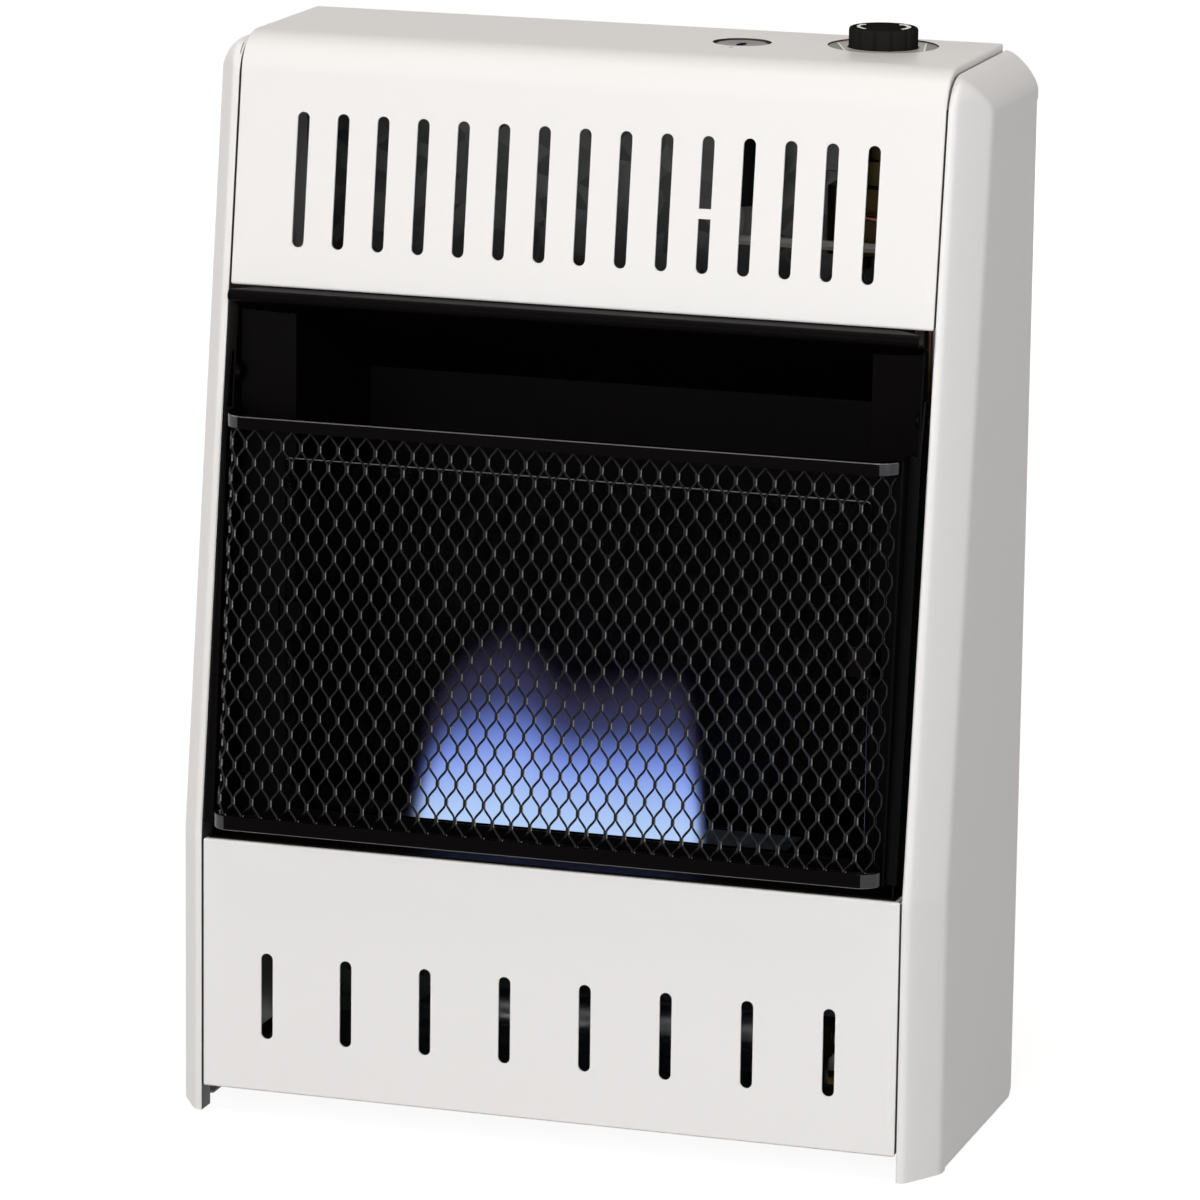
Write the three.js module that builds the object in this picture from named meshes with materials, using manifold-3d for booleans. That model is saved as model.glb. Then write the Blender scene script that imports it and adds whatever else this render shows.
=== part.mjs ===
// Vent-free blue flame heater, as the pressed sheets, guard, burner and gas parts it is assembled from.
// Millimetres, +Z up, the front faces -Y, the back panel's rear face is the plane that depths start from.

import * as THREE from 'three';
import { mergeVertices } from 'three/addons/utils/BufferGeometryUtils.js';
import Module from 'manifold-3d';

const wasm = await Module();
wasm.setup();

// Envelope
const overallWidth = 380.6;
const overallHeight = 517.5;
const topDepth = 102.8;
const bottomDepth = 156.5;

// Clearances
const seat = 0.3;
const seamGap = 1;
const overrun = 4;
const weldDistance = 0.0005;

// Painted casing
const sideVisibleWidth = 17.7;
const faceWidth = overallWidth - 2 * sideVisibleWidth;
const casingSheet = 1;
const casingFlange = 12;
const topCornerRadius = 20;
const upperPanelHeight = 118.4;
const windowTop = overallHeight - upperPanelHeight;
const windowBottom = 135.9;
const panelFoot = 12.5;
const cornerNotch = 3;
const slotWidth = 6;
const slotPitch = 20;
const upperSlotCount = 15;
const upperSlotDrop = 35.5;
const upperSlotLength = 63.7;
const upperSlotTop = overallHeight - upperSlotDrop;
const upperSlotBottom = upperSlotTop - upperSlotLength;
const lowerSlotCount = 8;
const lowerSlotPitch = 40;
const lowerSlotLength = 42.7;
const lowerSlotBottom = 38.9;
const lowerSlotTop = lowerSlotBottom + lowerSlotLength;
const slotsBeforeBridgeCount = 10;
const bridgeRise = 27.7;
const bridgeCentre = upperSlotBottom + bridgeRise;
const bridgeHeight = 4.6;

// Pressed side panels: how far the chamfers reach back and down at the outer face
const frontChamfer = 23;
const topChamfer = 20.5;
const seamDrop = 3;
const sideFlange = 12;
const ridgeRadius = 3;
const cornerSteps = 5;

// Back panel and base tray
const keyholeInset = 42.6;
const keyholeSpacing = faceWidth - 2 * keyholeInset;
const keyholeDrop = 77.5;
const keyholeHeight = overallHeight - keyholeDrop;
const keyholeRadius = 5;
const keyholeNeck = 5;
const keyholeRise = 14;
const traySlotCount = 6;
const traySlotPitch = 32;
const traySlotLength = 46;
const trayLip = 9;

// Firebox
const fireboxSheet = 1;
const mouthInset = 3.1;
const fireboxMouthWidth = faceWidth - 2 * mouthInset;
const facetWidth = 26.5;
const facetDepth = 3;
const throatWidth = fireboxMouthWidth - 2 * facetWidth;
const backTaper = 9;
const backWidth = throatWidth - 2 * backTaper;
const fireboxBackFlange = 10;
const fireboxFloorThickness = 1;
const hoodNoseProud = 13.1;
const hoodNoseRadius = 3;
const hoodEndInset = 0.1;
const hoodNoseHalfWidth = fireboxMouthWidth / 2 - hoodEndInset;
const hoodFall = 52.1;
const hoodRearHeight = windowTop - hoodFall;
const fireboxBackRise = 9;
const fireboxBackTop = hoodRearHeight + fireboxBackRise;
const hoodTopReturn = 24;
const burnerOpeningMargin = 18;
const burnerOpeningWidth = 50;

// Window glass and its holders
const glassLap = 2;
const glassWidth = throatWidth + 2 * glassLap;
const glassThickness = 4;
const glassCornerRadius = 2;
const glassBelowGuard = 25;
const glassStandoff = 4.4;
const channelHeight = 7.4;
const channelEndInset = 4;
const channelLength = glassWidth - 2 * channelEndInset;
const clipHeight = 14;
const clipDrop = 77;
const clipReach = 9;

// Guard
const guardEndInset = 4.5;
const guardWidth = fireboxMouthWidth - 2 * guardEndInset;
const guardCornerRadius = 10.5;
const guardTopProud = 24.5;
const guardBottomProud = 13.8;
const outletHeight = 57.1;
const topRailTop = windowTop - outletHeight;
const topRailHeight = 6.2;
const guardRise = 8.6;
const bottomRailBottom = windowBottom + guardRise;
const bottomRailHeight = 7.2;
const railWall = 1;
const railThroat = 2;
const railCornerSteps = 5;
const meshThickness = 1.2;
const meshTuck = 3;
const meshColumns = 20;
const meshRows = 6;
const knuckleWidth = 1.4;
const knuckleLength = 3;
const knuckleCornerCount = 4;
const guardPlate = 1;
const guardPlateLap = 2;
const guardStandoff = 3;
const earDepth = 10;
const earBehindScrew = 6;
const earHeight = 25;
const earTop = topRailTop + earHeight;
const earGap = 0.8;
const earHalfWidth = fireboxMouthWidth / 2 + earGap + guardPlate;
const plateTailDepth = 6;
const guardScrewRise = 15;
const guardScrewHeight = topRailTop + guardScrewRise;
const guardScrewInset = 5.2;
const guardScrewHeadRadius = 4.6;
const guardScrewHeadHeight = 2.6;
const guardScrewCrownRadius = 2.8;
const guardScrewRadius = 1.9;

// Burner
const burnerCentre = -18;
const burnerBehindGlass = 31;
const burnerFromBack = 48;
const burnerBelowFloor = 27.9;
const burnerHeight = windowBottom - burnerBelowFloor;
const burnerRadius = 18;
const burnerLength = 160;
const burnerWall = 1.2;
const burnerEndChamfer = 4;
const portCount = 24;
const portWidth = 2.2;
const portLength = 16;
const mixingRadius = 8.8;
const mixingBore = 7.6;
const mixingDrop = 63;
const mixingHeight = burnerHeight - mixingDrop;
const mixingMouthReach = 30;
const mixingMouth = burnerCentre + burnerLength / 2 + mixingMouthReach;
const mixingMouthRadius = 12.5;
const mixingMouthLength = 14;
const mixingBend = 20;
const riserInset = 20;
const mixingRiser = burnerCentre - burnerLength / 2 + riserInset;
const burnerBracketWidth = 34;
const burnerBracketSheet = 2;
const burnerBracketInset = 40;
const saddleDrop = 11.6;
const bracketFoot = 12;

// Injector
const injectorRadius = 4;
const injectorLength = 9;
const holderWidth = 16;
const holderLength = 18;
const holderGap = 3;
const holderFoot = 5;

// Pilot and flame sensing
const pilotFromBurner = 26;
const pilotPlace = burnerCentre + burnerLength / 2 + pilotFromBurner;
const pilotSetForward = 4;
const pilotPlateLength = 42;
const pilotPlateWidth = 24;
const pilotPlateDrop = 31.9;
const pilotPlateHeight = windowBottom - pilotPlateDrop;
const pilotPlateSheet = 1.5;
const pilotRadius = 4;
const pilotHeight = 30;
const pilotSpacing = 14;
const sensorSpacing = 11.2;
const pilotHoodRadius = 5.5;
const pilotHoodLength = 10;
const electrodeRadius = 2.6;
const electrodeWireRadius = 0.9;
const sensorRadius = 2.4;
const pilotDrop = 12;
const sensorDrop = 9;
const wireLength = 8;

// Gas control
const dialInset = 50.9;
const dialPlace = faceWidth / 2 - dialInset;
const dialDepth = 29;
const dialHoleRadius = 26.3;
const dialRimOverlap = 1.1;
const dialThickness = 2;
const knobRadius = 16.4;
const knobHeight = 26;
const knobStand = 9;
const knobWall = 2;
const knobCrown = 3;
const knobEdge = 1.6;
const knobLobes = 12;
const knobGroove = 0.8;
const knobGrooveWidth = 1.4;
const knobHubRadius = 6;
const knobClearance = 1;
const stemRadius = 3;
const stemFlat = 1;
const stemSlack = 2;
const stemTopCover = 2.5;
const valveDrop = 65.5;
const valveTop = overallHeight - valveDrop;
const valveHeight = 33;
const valveWidth = 44;
const valveLength = 38;
const valveCorner = 5;
const valveBossRadius = 12;
const valveBossHeight = 12;
const plugRadius = 6;
const plugRise = 8;
const plugDepth = 20;
const pushTravel = 5;
const hatFlange = 8;
const hatSheet = 1.2;
const hatOverhang = 4;
const nutRadius = 7.5;
const nutHeight = 8;
const pilotPortLength = 4.5;
const sensorPortDrop = 11;

// Push igniter
const igniterSpacing = 65.1;
const igniterPlace = dialPlace - igniterSpacing;
const igniterDepth = 43.5;
const igniterHoleRadius = 14;
const igniterRimOverlap = 2;
const igniterWall = 1.6;
const igniterCupDepth = 20;
const igniterRimThickness = 2;
const barrelRadius = 9;
const barrelLength = 56;
const buttonRecess = 3.5;
const buttonCap = 8;
const buttonDish = 1.2;
const buttonDishRadius = 7;
const plungerRadius = 4;
const plungerLength = 18;
const igniterTravel = 6;

// Regulator and inlet
const regulatorInset = 60.6;
const regulatorPlace = faceWidth / 2 - regulatorInset;
const regulatorWallGap = 13;
const regulatorFrontGap = 5;
const regulatorBase = 24;
const regulatorBody = 14;
const regulatorCapInset = 7;
const regulatorCap = 10;
const regulatorVentRadius = 5;
const regulatorVent = 6;
const regulatorPortReach = 7;
const regulatorPortRadius = 6.4;
const regulatorStandWidth = 16;
const inletRadius = 8.5;
const inletBore = 5.5;
const inletHexRadius = 12;
const inletHexHeight = 8;
const inletClearOfFloor = 3;
const inletHole = 14;

// Pipes and leads down the right side, beside the firebox
const supplyRadius = 5;
const burnerPipeRadius = 4;
const pilotPipeRadius = 2;
const sensorLeadRadius = 1.3;
const igniterLeadRadius = 2.5;
const pipeColumnInset = 14.6;
const pipeColumn = faceWidth / 2 - pipeColumnInset;
const pipeColumnSpacing = 16;
const pipeBend = 14;
const burnerPipeDrop = 49;
const leadRun = 16.8;
const leadSetForward = 16.5;
const pipeSides = 8;
const leadSides = 6;

// Derived places
const halfWidth = overallWidth / 2;
const halfFace = faceWidth / 2;
const seamPlane = halfFace + seamGap;
const sideDepth = halfWidth - seamPlane;
const lean = (bottomDepth - topDepth) / (overallHeight - windowBottom);
const leanAngle = Math.atan(lean);
const floorTop = windowBottom + seat + fireboxFloorThickness;
const wallFoot = floorTop + seat;
const guardTopDepth = frontDepth(topRailTop) + guardTopProud;
const guardBottomDepth = bottomDepth + guardBottomProud;
const guardScrewDepth = frontDepth(guardScrewHeight) - guardScrewInset;
const hoodNoseDepth = frontDepth(windowTop) + hoodNoseProud;
const mouthReturnDepth = guardScrewDepth - guardScrewHeadRadius - fireboxSheet - 2 * seat;
const throatDepth = mouthReturnDepth - facetDepth;
const glassRearDepth = throatDepth + glassStandoff;
const glassTop = topRailTop - glassBelowGuard;
const clipCentre = glassTop - clipDrop;
const burnerDepth = throatDepth - burnerBehindGlass;
const fireboxBackDepth = burnerDepth - burnerFromBack;
const regulatorRadius = (burnerDepth - holderWidth / 2 - regulatorFrontGap - regulatorWallGap) / 2;
const regulatorDepth = regulatorWallGap + regulatorRadius;
const regulatorCapRadius = regulatorRadius - regulatorCapInset;
const regulatorPort = regulatorRadius + regulatorPortReach;
const burnerOpeningLength = burnerLength + 2 * burnerOpeningMargin;
const pilotDepth = burnerDepth + pilotSetForward;
const leadDepth = igniterDepth + leadSetForward;
const halfGuard = guardWidth / 2;
const guardFlatHalf = halfGuard - guardCornerRadius;
const topRailMiddle = topRailTop - topRailHeight / 2;
const bottomRailMiddle = bottomRailBottom + bottomRailHeight / 2;
const guardLean = (guardBottomDepth - guardTopDepth) / (topRailMiddle - bottomRailMiddle);
const knobTop = overallHeight + knobStand;
const knobBottom = knobTop - knobHeight;
const trayTop = panelFoot + casingSheet;
const rightTurn = Math.PI / 2;

// Depth of the front sheet behind which everything sits, at a height
function frontDepth(height) {
  return bottomDepth - lean * Math.max(height - windowBottom, 0);
}

// Depth of the guard's outer face at a height
function guardDepth(height) {
  return guardBottomDepth - guardLean * (height - bottomRailMiddle);
}

// Solids

function toSolid(geometry) {
  const bare = geometry.clone();
  bare.deleteAttribute('normal');
  bare.deleteAttribute('uv');
  const merged = mergeVertices(bare, weldDistance);
  const corners = merged.index.array;
  const kept = [];
  for (let i = 0; i < corners.length; i += 3) {
    const [a, b, c] = corners.slice(i, i + 3);
    if (a !== b && b !== c && c !== a) kept.push(a, b, c);
  }
  return new wasm.Manifold(new wasm.Mesh({
    numProp: 3,
    vertProperties: new Float32Array(merged.attributes.position.array),
    triVerts: new Uint32Array(kept),
  }));
}

function toGeometry(body) {
  const { vertProperties, triVerts } = body.getMesh();
  const geometry = new THREE.BufferGeometry();
  geometry.setAttribute('position', new THREE.BufferAttribute(vertProperties, 3));
  geometry.setIndex(new THREE.BufferAttribute(triVerts, 1));
  const faceted = geometry.toNonIndexed();
  faceted.computeVertexNormals();
  return faceted;
}

function joined(...bodies) {
  return bodies.reduce((whole, body) => whole.add(body));
}

function cut(body, ...tools) {
  return tools.reduce((rest, tool) => rest.subtract(tool), body);
}

// The same body on the other side of the heater
function mirrored(body) {
  const geometry = toGeometry(body);
  const place = geometry.attributes.position;
  for (let i = 0; i < place.count; i += 3) {
    const [a, b, c] = [i, i + 2, i + 1].map((k) => new THREE.Vector3().fromBufferAttribute(place, k));
    [a, b, c].forEach((corner, k) => place.setXYZ(i + k, -corner.x, corner.y, corner.z));
  }
  return toSolid(geometry);
}

// Outlines

function shapeOf(points) {
  return new THREE.Shape(points.map(([x, y]) => new THREE.Vector2(x, y)));
}

function arcPoints(centreX, centreY, radius, from, to, steps) {
  return Array.from({ length: steps + 1 }, (_, i) => {
    const angle = from + ((to - from) * i) / steps;
    return [centreX + radius * Math.cos(angle), centreY + radius * Math.sin(angle)];
  });
}

function circleShape(centreX, centreY, radius, sides) {
  return shapeOf(arcPoints(centreX, centreY, radius, 0, 2 * Math.PI, sides).slice(0, sides));
}

function rectangle(left, right, low, high) {
  return shapeOf([[left, low], [right, low], [right, high], [left, high]]);
}

// Upright slot with round ends
function slotShape(centre, low, high, width) {
  const radius = width / 2;
  const top = arcPoints(centre, high - radius, radius, 0, Math.PI, 6);
  const foot = arcPoints(centre, low + radius, radius, Math.PI, 2 * Math.PI, 6);
  return shapeOf([...top, ...foot]);
}

// Round off one corner of an outline: the points of the arc between two straight sides
function filletPoints(before, corner, after, radius, steps) {
  const vertex = new THREE.Vector2(...corner);
  const back = new THREE.Vector2(...before).sub(vertex).normalize();
  const ahead = new THREE.Vector2(...after).sub(vertex).normalize();
  const half = Math.acos(THREE.MathUtils.clamp(back.dot(ahead), -1, 1)) / 2;
  const centre = back.clone().add(ahead).normalize().multiplyScalar(radius / Math.sin(half)).add(vertex);
  const reach = radius / Math.tan(half);
  const start = vertex.clone().addScaledVector(back, reach).sub(centre);
  const end = vertex.clone().addScaledVector(ahead, reach).sub(centre);
  const turn = Math.atan2(start.cross(end), start.dot(end));
  return arcPoints(centre.x, centre.y, radius, start.angle(), start.angle() + turn, steps);
}

// Cross-section of a sheet bent along a line; the thickness lies to the left of the line
function sheetShape(line, thickness) {
  const points = line.map(([x, y]) => new THREE.Vector2(x, y));
  const normals = points.slice(1).map((point, i) => {
    const along = point.clone().sub(points[i]).normalize();
    return new THREE.Vector2(-along.y, along.x);
  });
  const offset = points.map((point, i) => {
    const before = normals[Math.max(i - 1, 0)];
    const after = normals[Math.min(i, normals.length - 1)];
    const mitre = before.clone().add(after).normalize();
    return point.clone().addScaledVector(mitre, thickness / mitre.dot(after));
  });
  return new THREE.Shape([...points, ...offset.reverse()]);
}

// Prisms: an outline in two axes, run along the third

function prism(shapes, length, basis) {
  const geometry = new THREE.ExtrudeGeometry(shapes, { depth: length, bevelEnabled: false, curveSegments: 6 });
  return toSolid(geometry.applyMatrix4(basis));
}

function alongX(outline, from, to) {
  const basis = new THREE.Matrix4().makeBasis(
    new THREE.Vector3(0, 1, 0),
    new THREE.Vector3(0, 0, 1),
    new THREE.Vector3(1, 0, 0),
  );
  return prism(outline, to - from, basis.setPosition(from, 0, 0));
}

// The outline is x and z, and the run goes from the rear place to the front one
function alongY(outline, rear, front) {
  const basis = new THREE.Matrix4().makeBasis(
    new THREE.Vector3(1, 0, 0),
    new THREE.Vector3(0, 0, 1),
    new THREE.Vector3(0, -1, 0),
  );
  return prism(outline, rear - front, basis.setPosition(0, rear, 0));
}

function alongZ(outline, from, to) {
  return prism(outline, to - from, new THREE.Matrix4().setPosition(0, 0, from));
}

function block(x0, x1, y0, y1, z0, z1) {
  return alongZ(rectangle(x0, x1, y0, y1), z0, z1);
}

// Turned pieces: a profile of radius and height, about an upright axis
function turned(profile, x, y, sides) {
  const points = profile.map(([radius, height]) => new THREE.Vector2(radius, height));
  const geometry = new THREE.LatheGeometry(points, sides);
  return toSolid(geometry.rotateX(rightTurn).translate(x, y, 0));
}

function upright(x, y, radius, low, high, sides) {
  return turned([[0, low], [radius, low], [radius, high], [0, high]], x, y, sides);
}

// The same, about an axis that runs to the right
function lying(profile, y, z, sides) {
  const points = profile.map(([radius, place]) => new THREE.Vector2(radius, place));
  const geometry = new THREE.LatheGeometry(points, sides);
  return toSolid(geometry.rotateZ(-rightTurn).translate(0, y, z));
}

function rod(y, z, radius, left, right, sides) {
  return lying([[0, left], [radius, left], [radius, right], [0, right]], y, z, sides);
}

// Skin through equal rings of points, closed by a flat face at each end
function lofted(rings) {
  const count = rings[0].length;
  const places = rings.flat().flat();
  const corners = [];
  for (let r = 0; r + 1 < rings.length; r += 1) {
    for (let i = 0; i < count; i += 1) {
      const a = r * count + i;
      const b = r * count + ((i + 1) % count);
      corners.push(a, b, b + count, a, b + count, a + count);
    }
  }
  const last = (rings.length - 1) * count;
  for (let i = 1; i + 1 < count; i += 1) {
    corners.push(0, i + 1, i, last, last + i, last + i + 1);
  }
  const geometry = new THREE.BufferGeometry();
  geometry.setAttribute('position', new THREE.Float32BufferAttribute(places, 3));
  geometry.setIndex(corners);
  return toSolid(geometry);
}

// Pipe through a list of places, its bends rounded off
function pipe(places, radius, sides) {
  const corners = places.map((place) => new THREE.Vector3(...place));
  const path = new THREE.CurvePath();
  let start = corners[0];
  for (let i = 1; i + 1 < corners.length; i += 1) {
    const back = corners[i - 1].clone().sub(corners[i]);
    const ahead = corners[i + 1].clone().sub(corners[i]);
    const bend = Math.min(pipeBend, back.length() / 2, ahead.length() / 2);
    const enter = corners[i].clone().addScaledVector(back.normalize(), bend);
    const leave = corners[i].clone().addScaledVector(ahead.normalize(), bend);
    if (start.distanceTo(enter) > weldDistance) path.add(new THREE.LineCurve3(start, enter));
    path.add(new THREE.QuadraticBezierCurve3(enter, corners[i], leave));
    start = leave;
  }
  path.add(new THREE.LineCurve3(start, corners.at(-1)));
  return sweep(path, circleShape(0, 0, radius, sides));
}

// A section run along a path with a ring of points at each end of a straight and along each bend
function sweep(path, section) {
  const outline = section.getPoints();
  const stations = path.curves.flatMap((curve) => {
    const steps = curve.isLineCurve3 ? 1 : 4;
    return Array.from({ length: steps }, (_, i) => ({ curve, at: i / steps }));
  });
  stations.push({ curve: path.curves.at(-1), at: 1 });
  let side = null;
  const rings = stations.map(({ curve, at }) => {
    const along = curve.getTangent(at).normalize();
    side ??= Math.abs(along.z) < 0.9 ? new THREE.Vector3(0, 0, 1) : new THREE.Vector3(1, 0, 0);
    side = side.clone().addScaledVector(along, -side.dot(along)).normalize();
    const across = along.clone().cross(side);
    const centre = curve.getPoint(at);
    return outline.map(({ x, y }) => centre.clone().addScaledVector(side, x).addScaledVector(across, y).toArray());
  });
  return lofted(rings);
}

// Casing

// Outline of the casing in side view, drawn in from the outside by an amount
function casingOutline(inset, rear, foot) {
  const slope = inset / Math.cos(leanAngle);
  const top = overallHeight - inset;
  const frontTop = [slope - frontDepth(top), top];
  const frontFoot = [slope - frontDepth(foot), foot];
  const radius = Math.max(topCornerRadius - inset, 0);
  const corner = filletPoints([rear, top], frontTop, frontFoot, radius, cornerSteps);
  return shapeOf([[rear, foot], [rear, top], ...corner, frontFoot]);
}

function slotRow(count, pitch, low, high) {
  const first = (-(count - 1) * pitch) / 2;
  return Array.from({ length: count }, (_, i) => slotShape(first + i * pitch, low, high, slotWidth));
}

// Small relief cut where two bends meet at a bottom or top corner of a front panel
function notches(height, side) {
  const reach = halfFace + overrun;
  const inner = halfFace - cornerNotch;
  const far = height + side * cornerNotch;
  return [-1, 1].map((hand) => shapeOf([[hand * inner, height], [hand * reach, height - side * overrun],
    [hand * reach, far], [hand * halfFace, far]]));
}

function upperCasing() {
  const inner = halfFace - casingSheet;
  const skin = alongX(casingOutline(0, 0, windowTop), -halfFace, halfFace);
  const hollow = alongX(casingOutline(casingSheet, -casingSheet, windowTop + casingSheet), -inner, inner);
  const wide = halfFace + overrun;
  const core = alongX(casingOutline(casingFlange, overrun, windowTop - overrun), -wide, wide);
  const slots = alongY(slotRow(upperSlotCount, slotPitch, upperSlotBottom, upperSlotTop), -topDepth / 2, -bottomDepth);
  const frontDeep = -frontDepth(windowTop) + casingSheet / 2;
  const corners = alongY(notches(windowTop, 1), frontDeep + casingFlange, -bottomDepth);
  const holes = alongZ([
    circleShape(dialPlace, -dialDepth, dialHoleRadius, 40),
    circleShape(igniterPlace, -igniterDepth, igniterHoleRadius, 28),
  ], overallHeight - casingFlange / 2, overallHeight + overrun);
  return joined(cut(skin, hollow, core, slots, holes, corners), slotBridge());
}

// The web of metal left across one slot
function slotBridge() {
  const centre = (slotsBeforeBridgeCount - (upperSlotCount - 1) / 2) * slotPitch;
  const low = bridgeCentre - bridgeHeight / 2;
  const high = bridgeCentre + bridgeHeight / 2;
  const outline = shapeOf([
    [-frontDepth(low), low],
    [casingSheet - frontDepth(low), low],
    [casingSheet - frontDepth(high), high],
    [-frontDepth(high), high],
  ]);
  const half = slotWidth / 2 + casingSheet;
  return alongX(outline, centre - half, centre + half);
}

function lowerFrontPanel() {
  const front = -bottomDepth;
  const rear = front + casingFlange;
  const skin = block(-halfFace, halfFace, front, rear, panelFoot, windowBottom);
  const inner = halfFace - casingSheet;
  const hollow = block(
    -inner, inner, front + casingSheet, rear + overrun, panelFoot + casingSheet, windowBottom - casingSheet,
  );
  const slots = alongY(
    slotRow(lowerSlotCount, lowerSlotPitch, lowerSlotBottom, lowerSlotTop), rear, front - overrun,
  );
  const corners = [
    alongY(notches(windowBottom, -1), rear + overrun, front - overrun),
    alongY(notches(panelFoot, 1), rear + overrun, front - overrun),
  ];
  return cut(skin, hollow, slots, ...corners);
}

// Sections through a side panel, from the seam out to the flat side:
// shares of the panel's depth, of the front chamfer and of the top chamfer beyond the seam's drop
const sideSectionShares = [
  [0, 0, 0],
  [0.174, 0.013, 0.034],
  [0.293, 0.092, 0.092],
  [0.623, 0.458, 0.355],
  [0.874, 0.755, 0.686],
  [0.964, 0.872, 0.874],
  [1, 1, 1],
];

// One ring of a side panel: upright back, level top, rounded corner, leaning front, upright foot
function sideRing(x, front, drop, radius, rear, foot) {
  const top = overallHeight - drop;
  const frontTop = [front - frontDepth(top), top];
  const kink = [front - frontDepth(windowBottom), windowBottom];
  const corner = filletPoints([rear, top], frontTop, kink, radius, cornerSteps);
  const ring = [[rear, foot], [rear, top], ...corner, kink, [kink[0], foot]];
  return ring.map(([y, z]) => [x, y, z]);
}

// The panel's outer form, or with an inset the space inside its sheet
function sideForm(inset) {
  const rings = sideSectionShares.map(([out, back, down]) => {
    const x = seamPlane + sideDepth * out - inset;
    const front = frontChamfer * back + inset;
    const drop = seamDrop + (topChamfer - seamDrop) * down + inset;
    const radius = topCornerRadius + (ridgeRadius - topCornerRadius) * out - inset / 2;
    return sideRing(Math.max(x, seamPlane + inset * out), front, drop, radius, -inset, inset);
  });
  return lofted(rings.filter((ring, i) => i === 0 || ring[0][0] > rings[i - 1][0][0]));
}

function rightSidePanel() {
  const shell = cut(sideForm(0), sideForm(casingSheet));
  const mouth = sideRing(seamPlane, sideFlange, seamDrop + sideFlange, ridgeRadius, -sideFlange, sideFlange);
  const opening = alongX(shapeOf(mouth.map(([, y, z]) => [y, z])), seamPlane - overrun, seamPlane + casingSheet * 2);
  return cut(shell, opening);
}

function keyhole(centre) {
  const half = keyholeNeck / 2;
  const round = arcPoints(centre, keyholeHeight, keyholeRadius, rightTurn + Math.asin(half / keyholeRadius),
    2 * Math.PI + rightTurn - Math.asin(half / keyholeRadius), 14);
  const tip = arcPoints(centre, keyholeHeight + keyholeRise, half, 0, Math.PI, 4);
  return shapeOf([...round, ...tip]);
}

function backPanel() {
  const top = overallHeight - casingFlange - seat;
  const half = seamPlane - seat;
  const skin = block(-half, half, -casingFlange, 0, panelFoot, top);
  const inner = half - casingSheet;
  const hollow = block(
    -inner, inner, -casingFlange - overrun, -casingSheet, panelFoot + casingSheet, top - casingSheet,
  );
  const holes = alongY([keyhole(-keyholeSpacing / 2), keyhole(keyholeSpacing / 2)], overrun, -casingFlange);
  return cut(skin, hollow, holes);
}

function baseTray() {
  const half = halfFace - seat;
  const front = -(bottomDepth - casingFlange - seat);
  const rear = -(casingFlange + seat);
  const skin = block(-half, half, front, rear, panelFoot, panelFoot + trayLip);
  const hollow = block(
    casingSheet - half, half - casingSheet, front + casingSheet, rear - casingSheet,
    trayTop, panelFoot + trayLip + overrun,
  );
  const first = (-(traySlotCount - 1) * traySlotPitch) / 2 - burnerBracketWidth;
  const slotLow = front + trayLip;
  const slots = Array.from({ length: traySlotCount }, (_, i) => (
    slotShape(first + i * traySlotPitch, slotLow, slotLow + traySlotLength, slotWidth)
  ));
  const hole = circleShape(regulatorPlace, -regulatorDepth, inletHole, 20);
  return cut(skin, hollow, alongZ([...slots, hole], panelFoot - overrun, trayTop + overrun));
}

// Firebox

const slopeTop = hoodNoseDepth - 2 * hoodNoseRadius;
const noseHeight = windowTop - seat - hoodNoseRadius;
const slopeTopHeight = noseHeight - hoodNoseRadius;
const hoodRise = (slopeTopHeight - hoodRearHeight) / (slopeTop - fireboxBackDepth);

// Plan of one firebox side, from the mouth to the flange behind the back plate
function firesidePlan() {
  const mouth = fireboxMouthWidth / 2;
  const rear = backWidth / 2;
  return [
    [mouth, -bottomDepth],
    [mouth, -mouthReturnDepth],
    [throatWidth / 2, -throatDepth],
    [rear, -fireboxBackDepth - seat],
    [rear + fireboxBackFlange, -fireboxBackDepth - seat],
  ];
}

// Side view of the room that a firebox side fills: behind the front plane and below the hood
function firesideRoom() {
  const rear = overrun - fireboxBackDepth;
  const front = seat - frontDepth(wallFoot);
  const under = (depth) => slopeTopHeight - (slopeTop - depth) * hoodRise - seat;
  const topFront = frontDepth(slopeTopHeight) - seat;
  return shapeOf([
    [rear, wallFoot],
    [front, wallFoot],
    [-topFront, under(topFront)],
    [rear, under(-rear)],
  ]);
}

function fireboxRightSide() {
  const sheet = alongZ(sheetShape(firesidePlan(), fireboxSheet), wallFoot, windowTop);
  const mouth = fireboxMouthWidth / 2;
  const room = alongX(firesideRoom(), backWidth / 2 - overrun, mouth + fireboxBackFlange);
  const hole = rod(-guardScrewDepth, guardScrewHeight, guardScrewRadius + seat, mouth - overrun, mouth + overrun, 12);
  return cut(sheet.intersect(room), hole);
}

function fireboxBack() {
  const half = backWidth / 2 + fireboxBackFlange;
  const front = fireboxSheet - fireboxBackDepth;
  return block(-half, half, front, front + fireboxSheet, wallFoot, fireboxBackTop);
}

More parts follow.
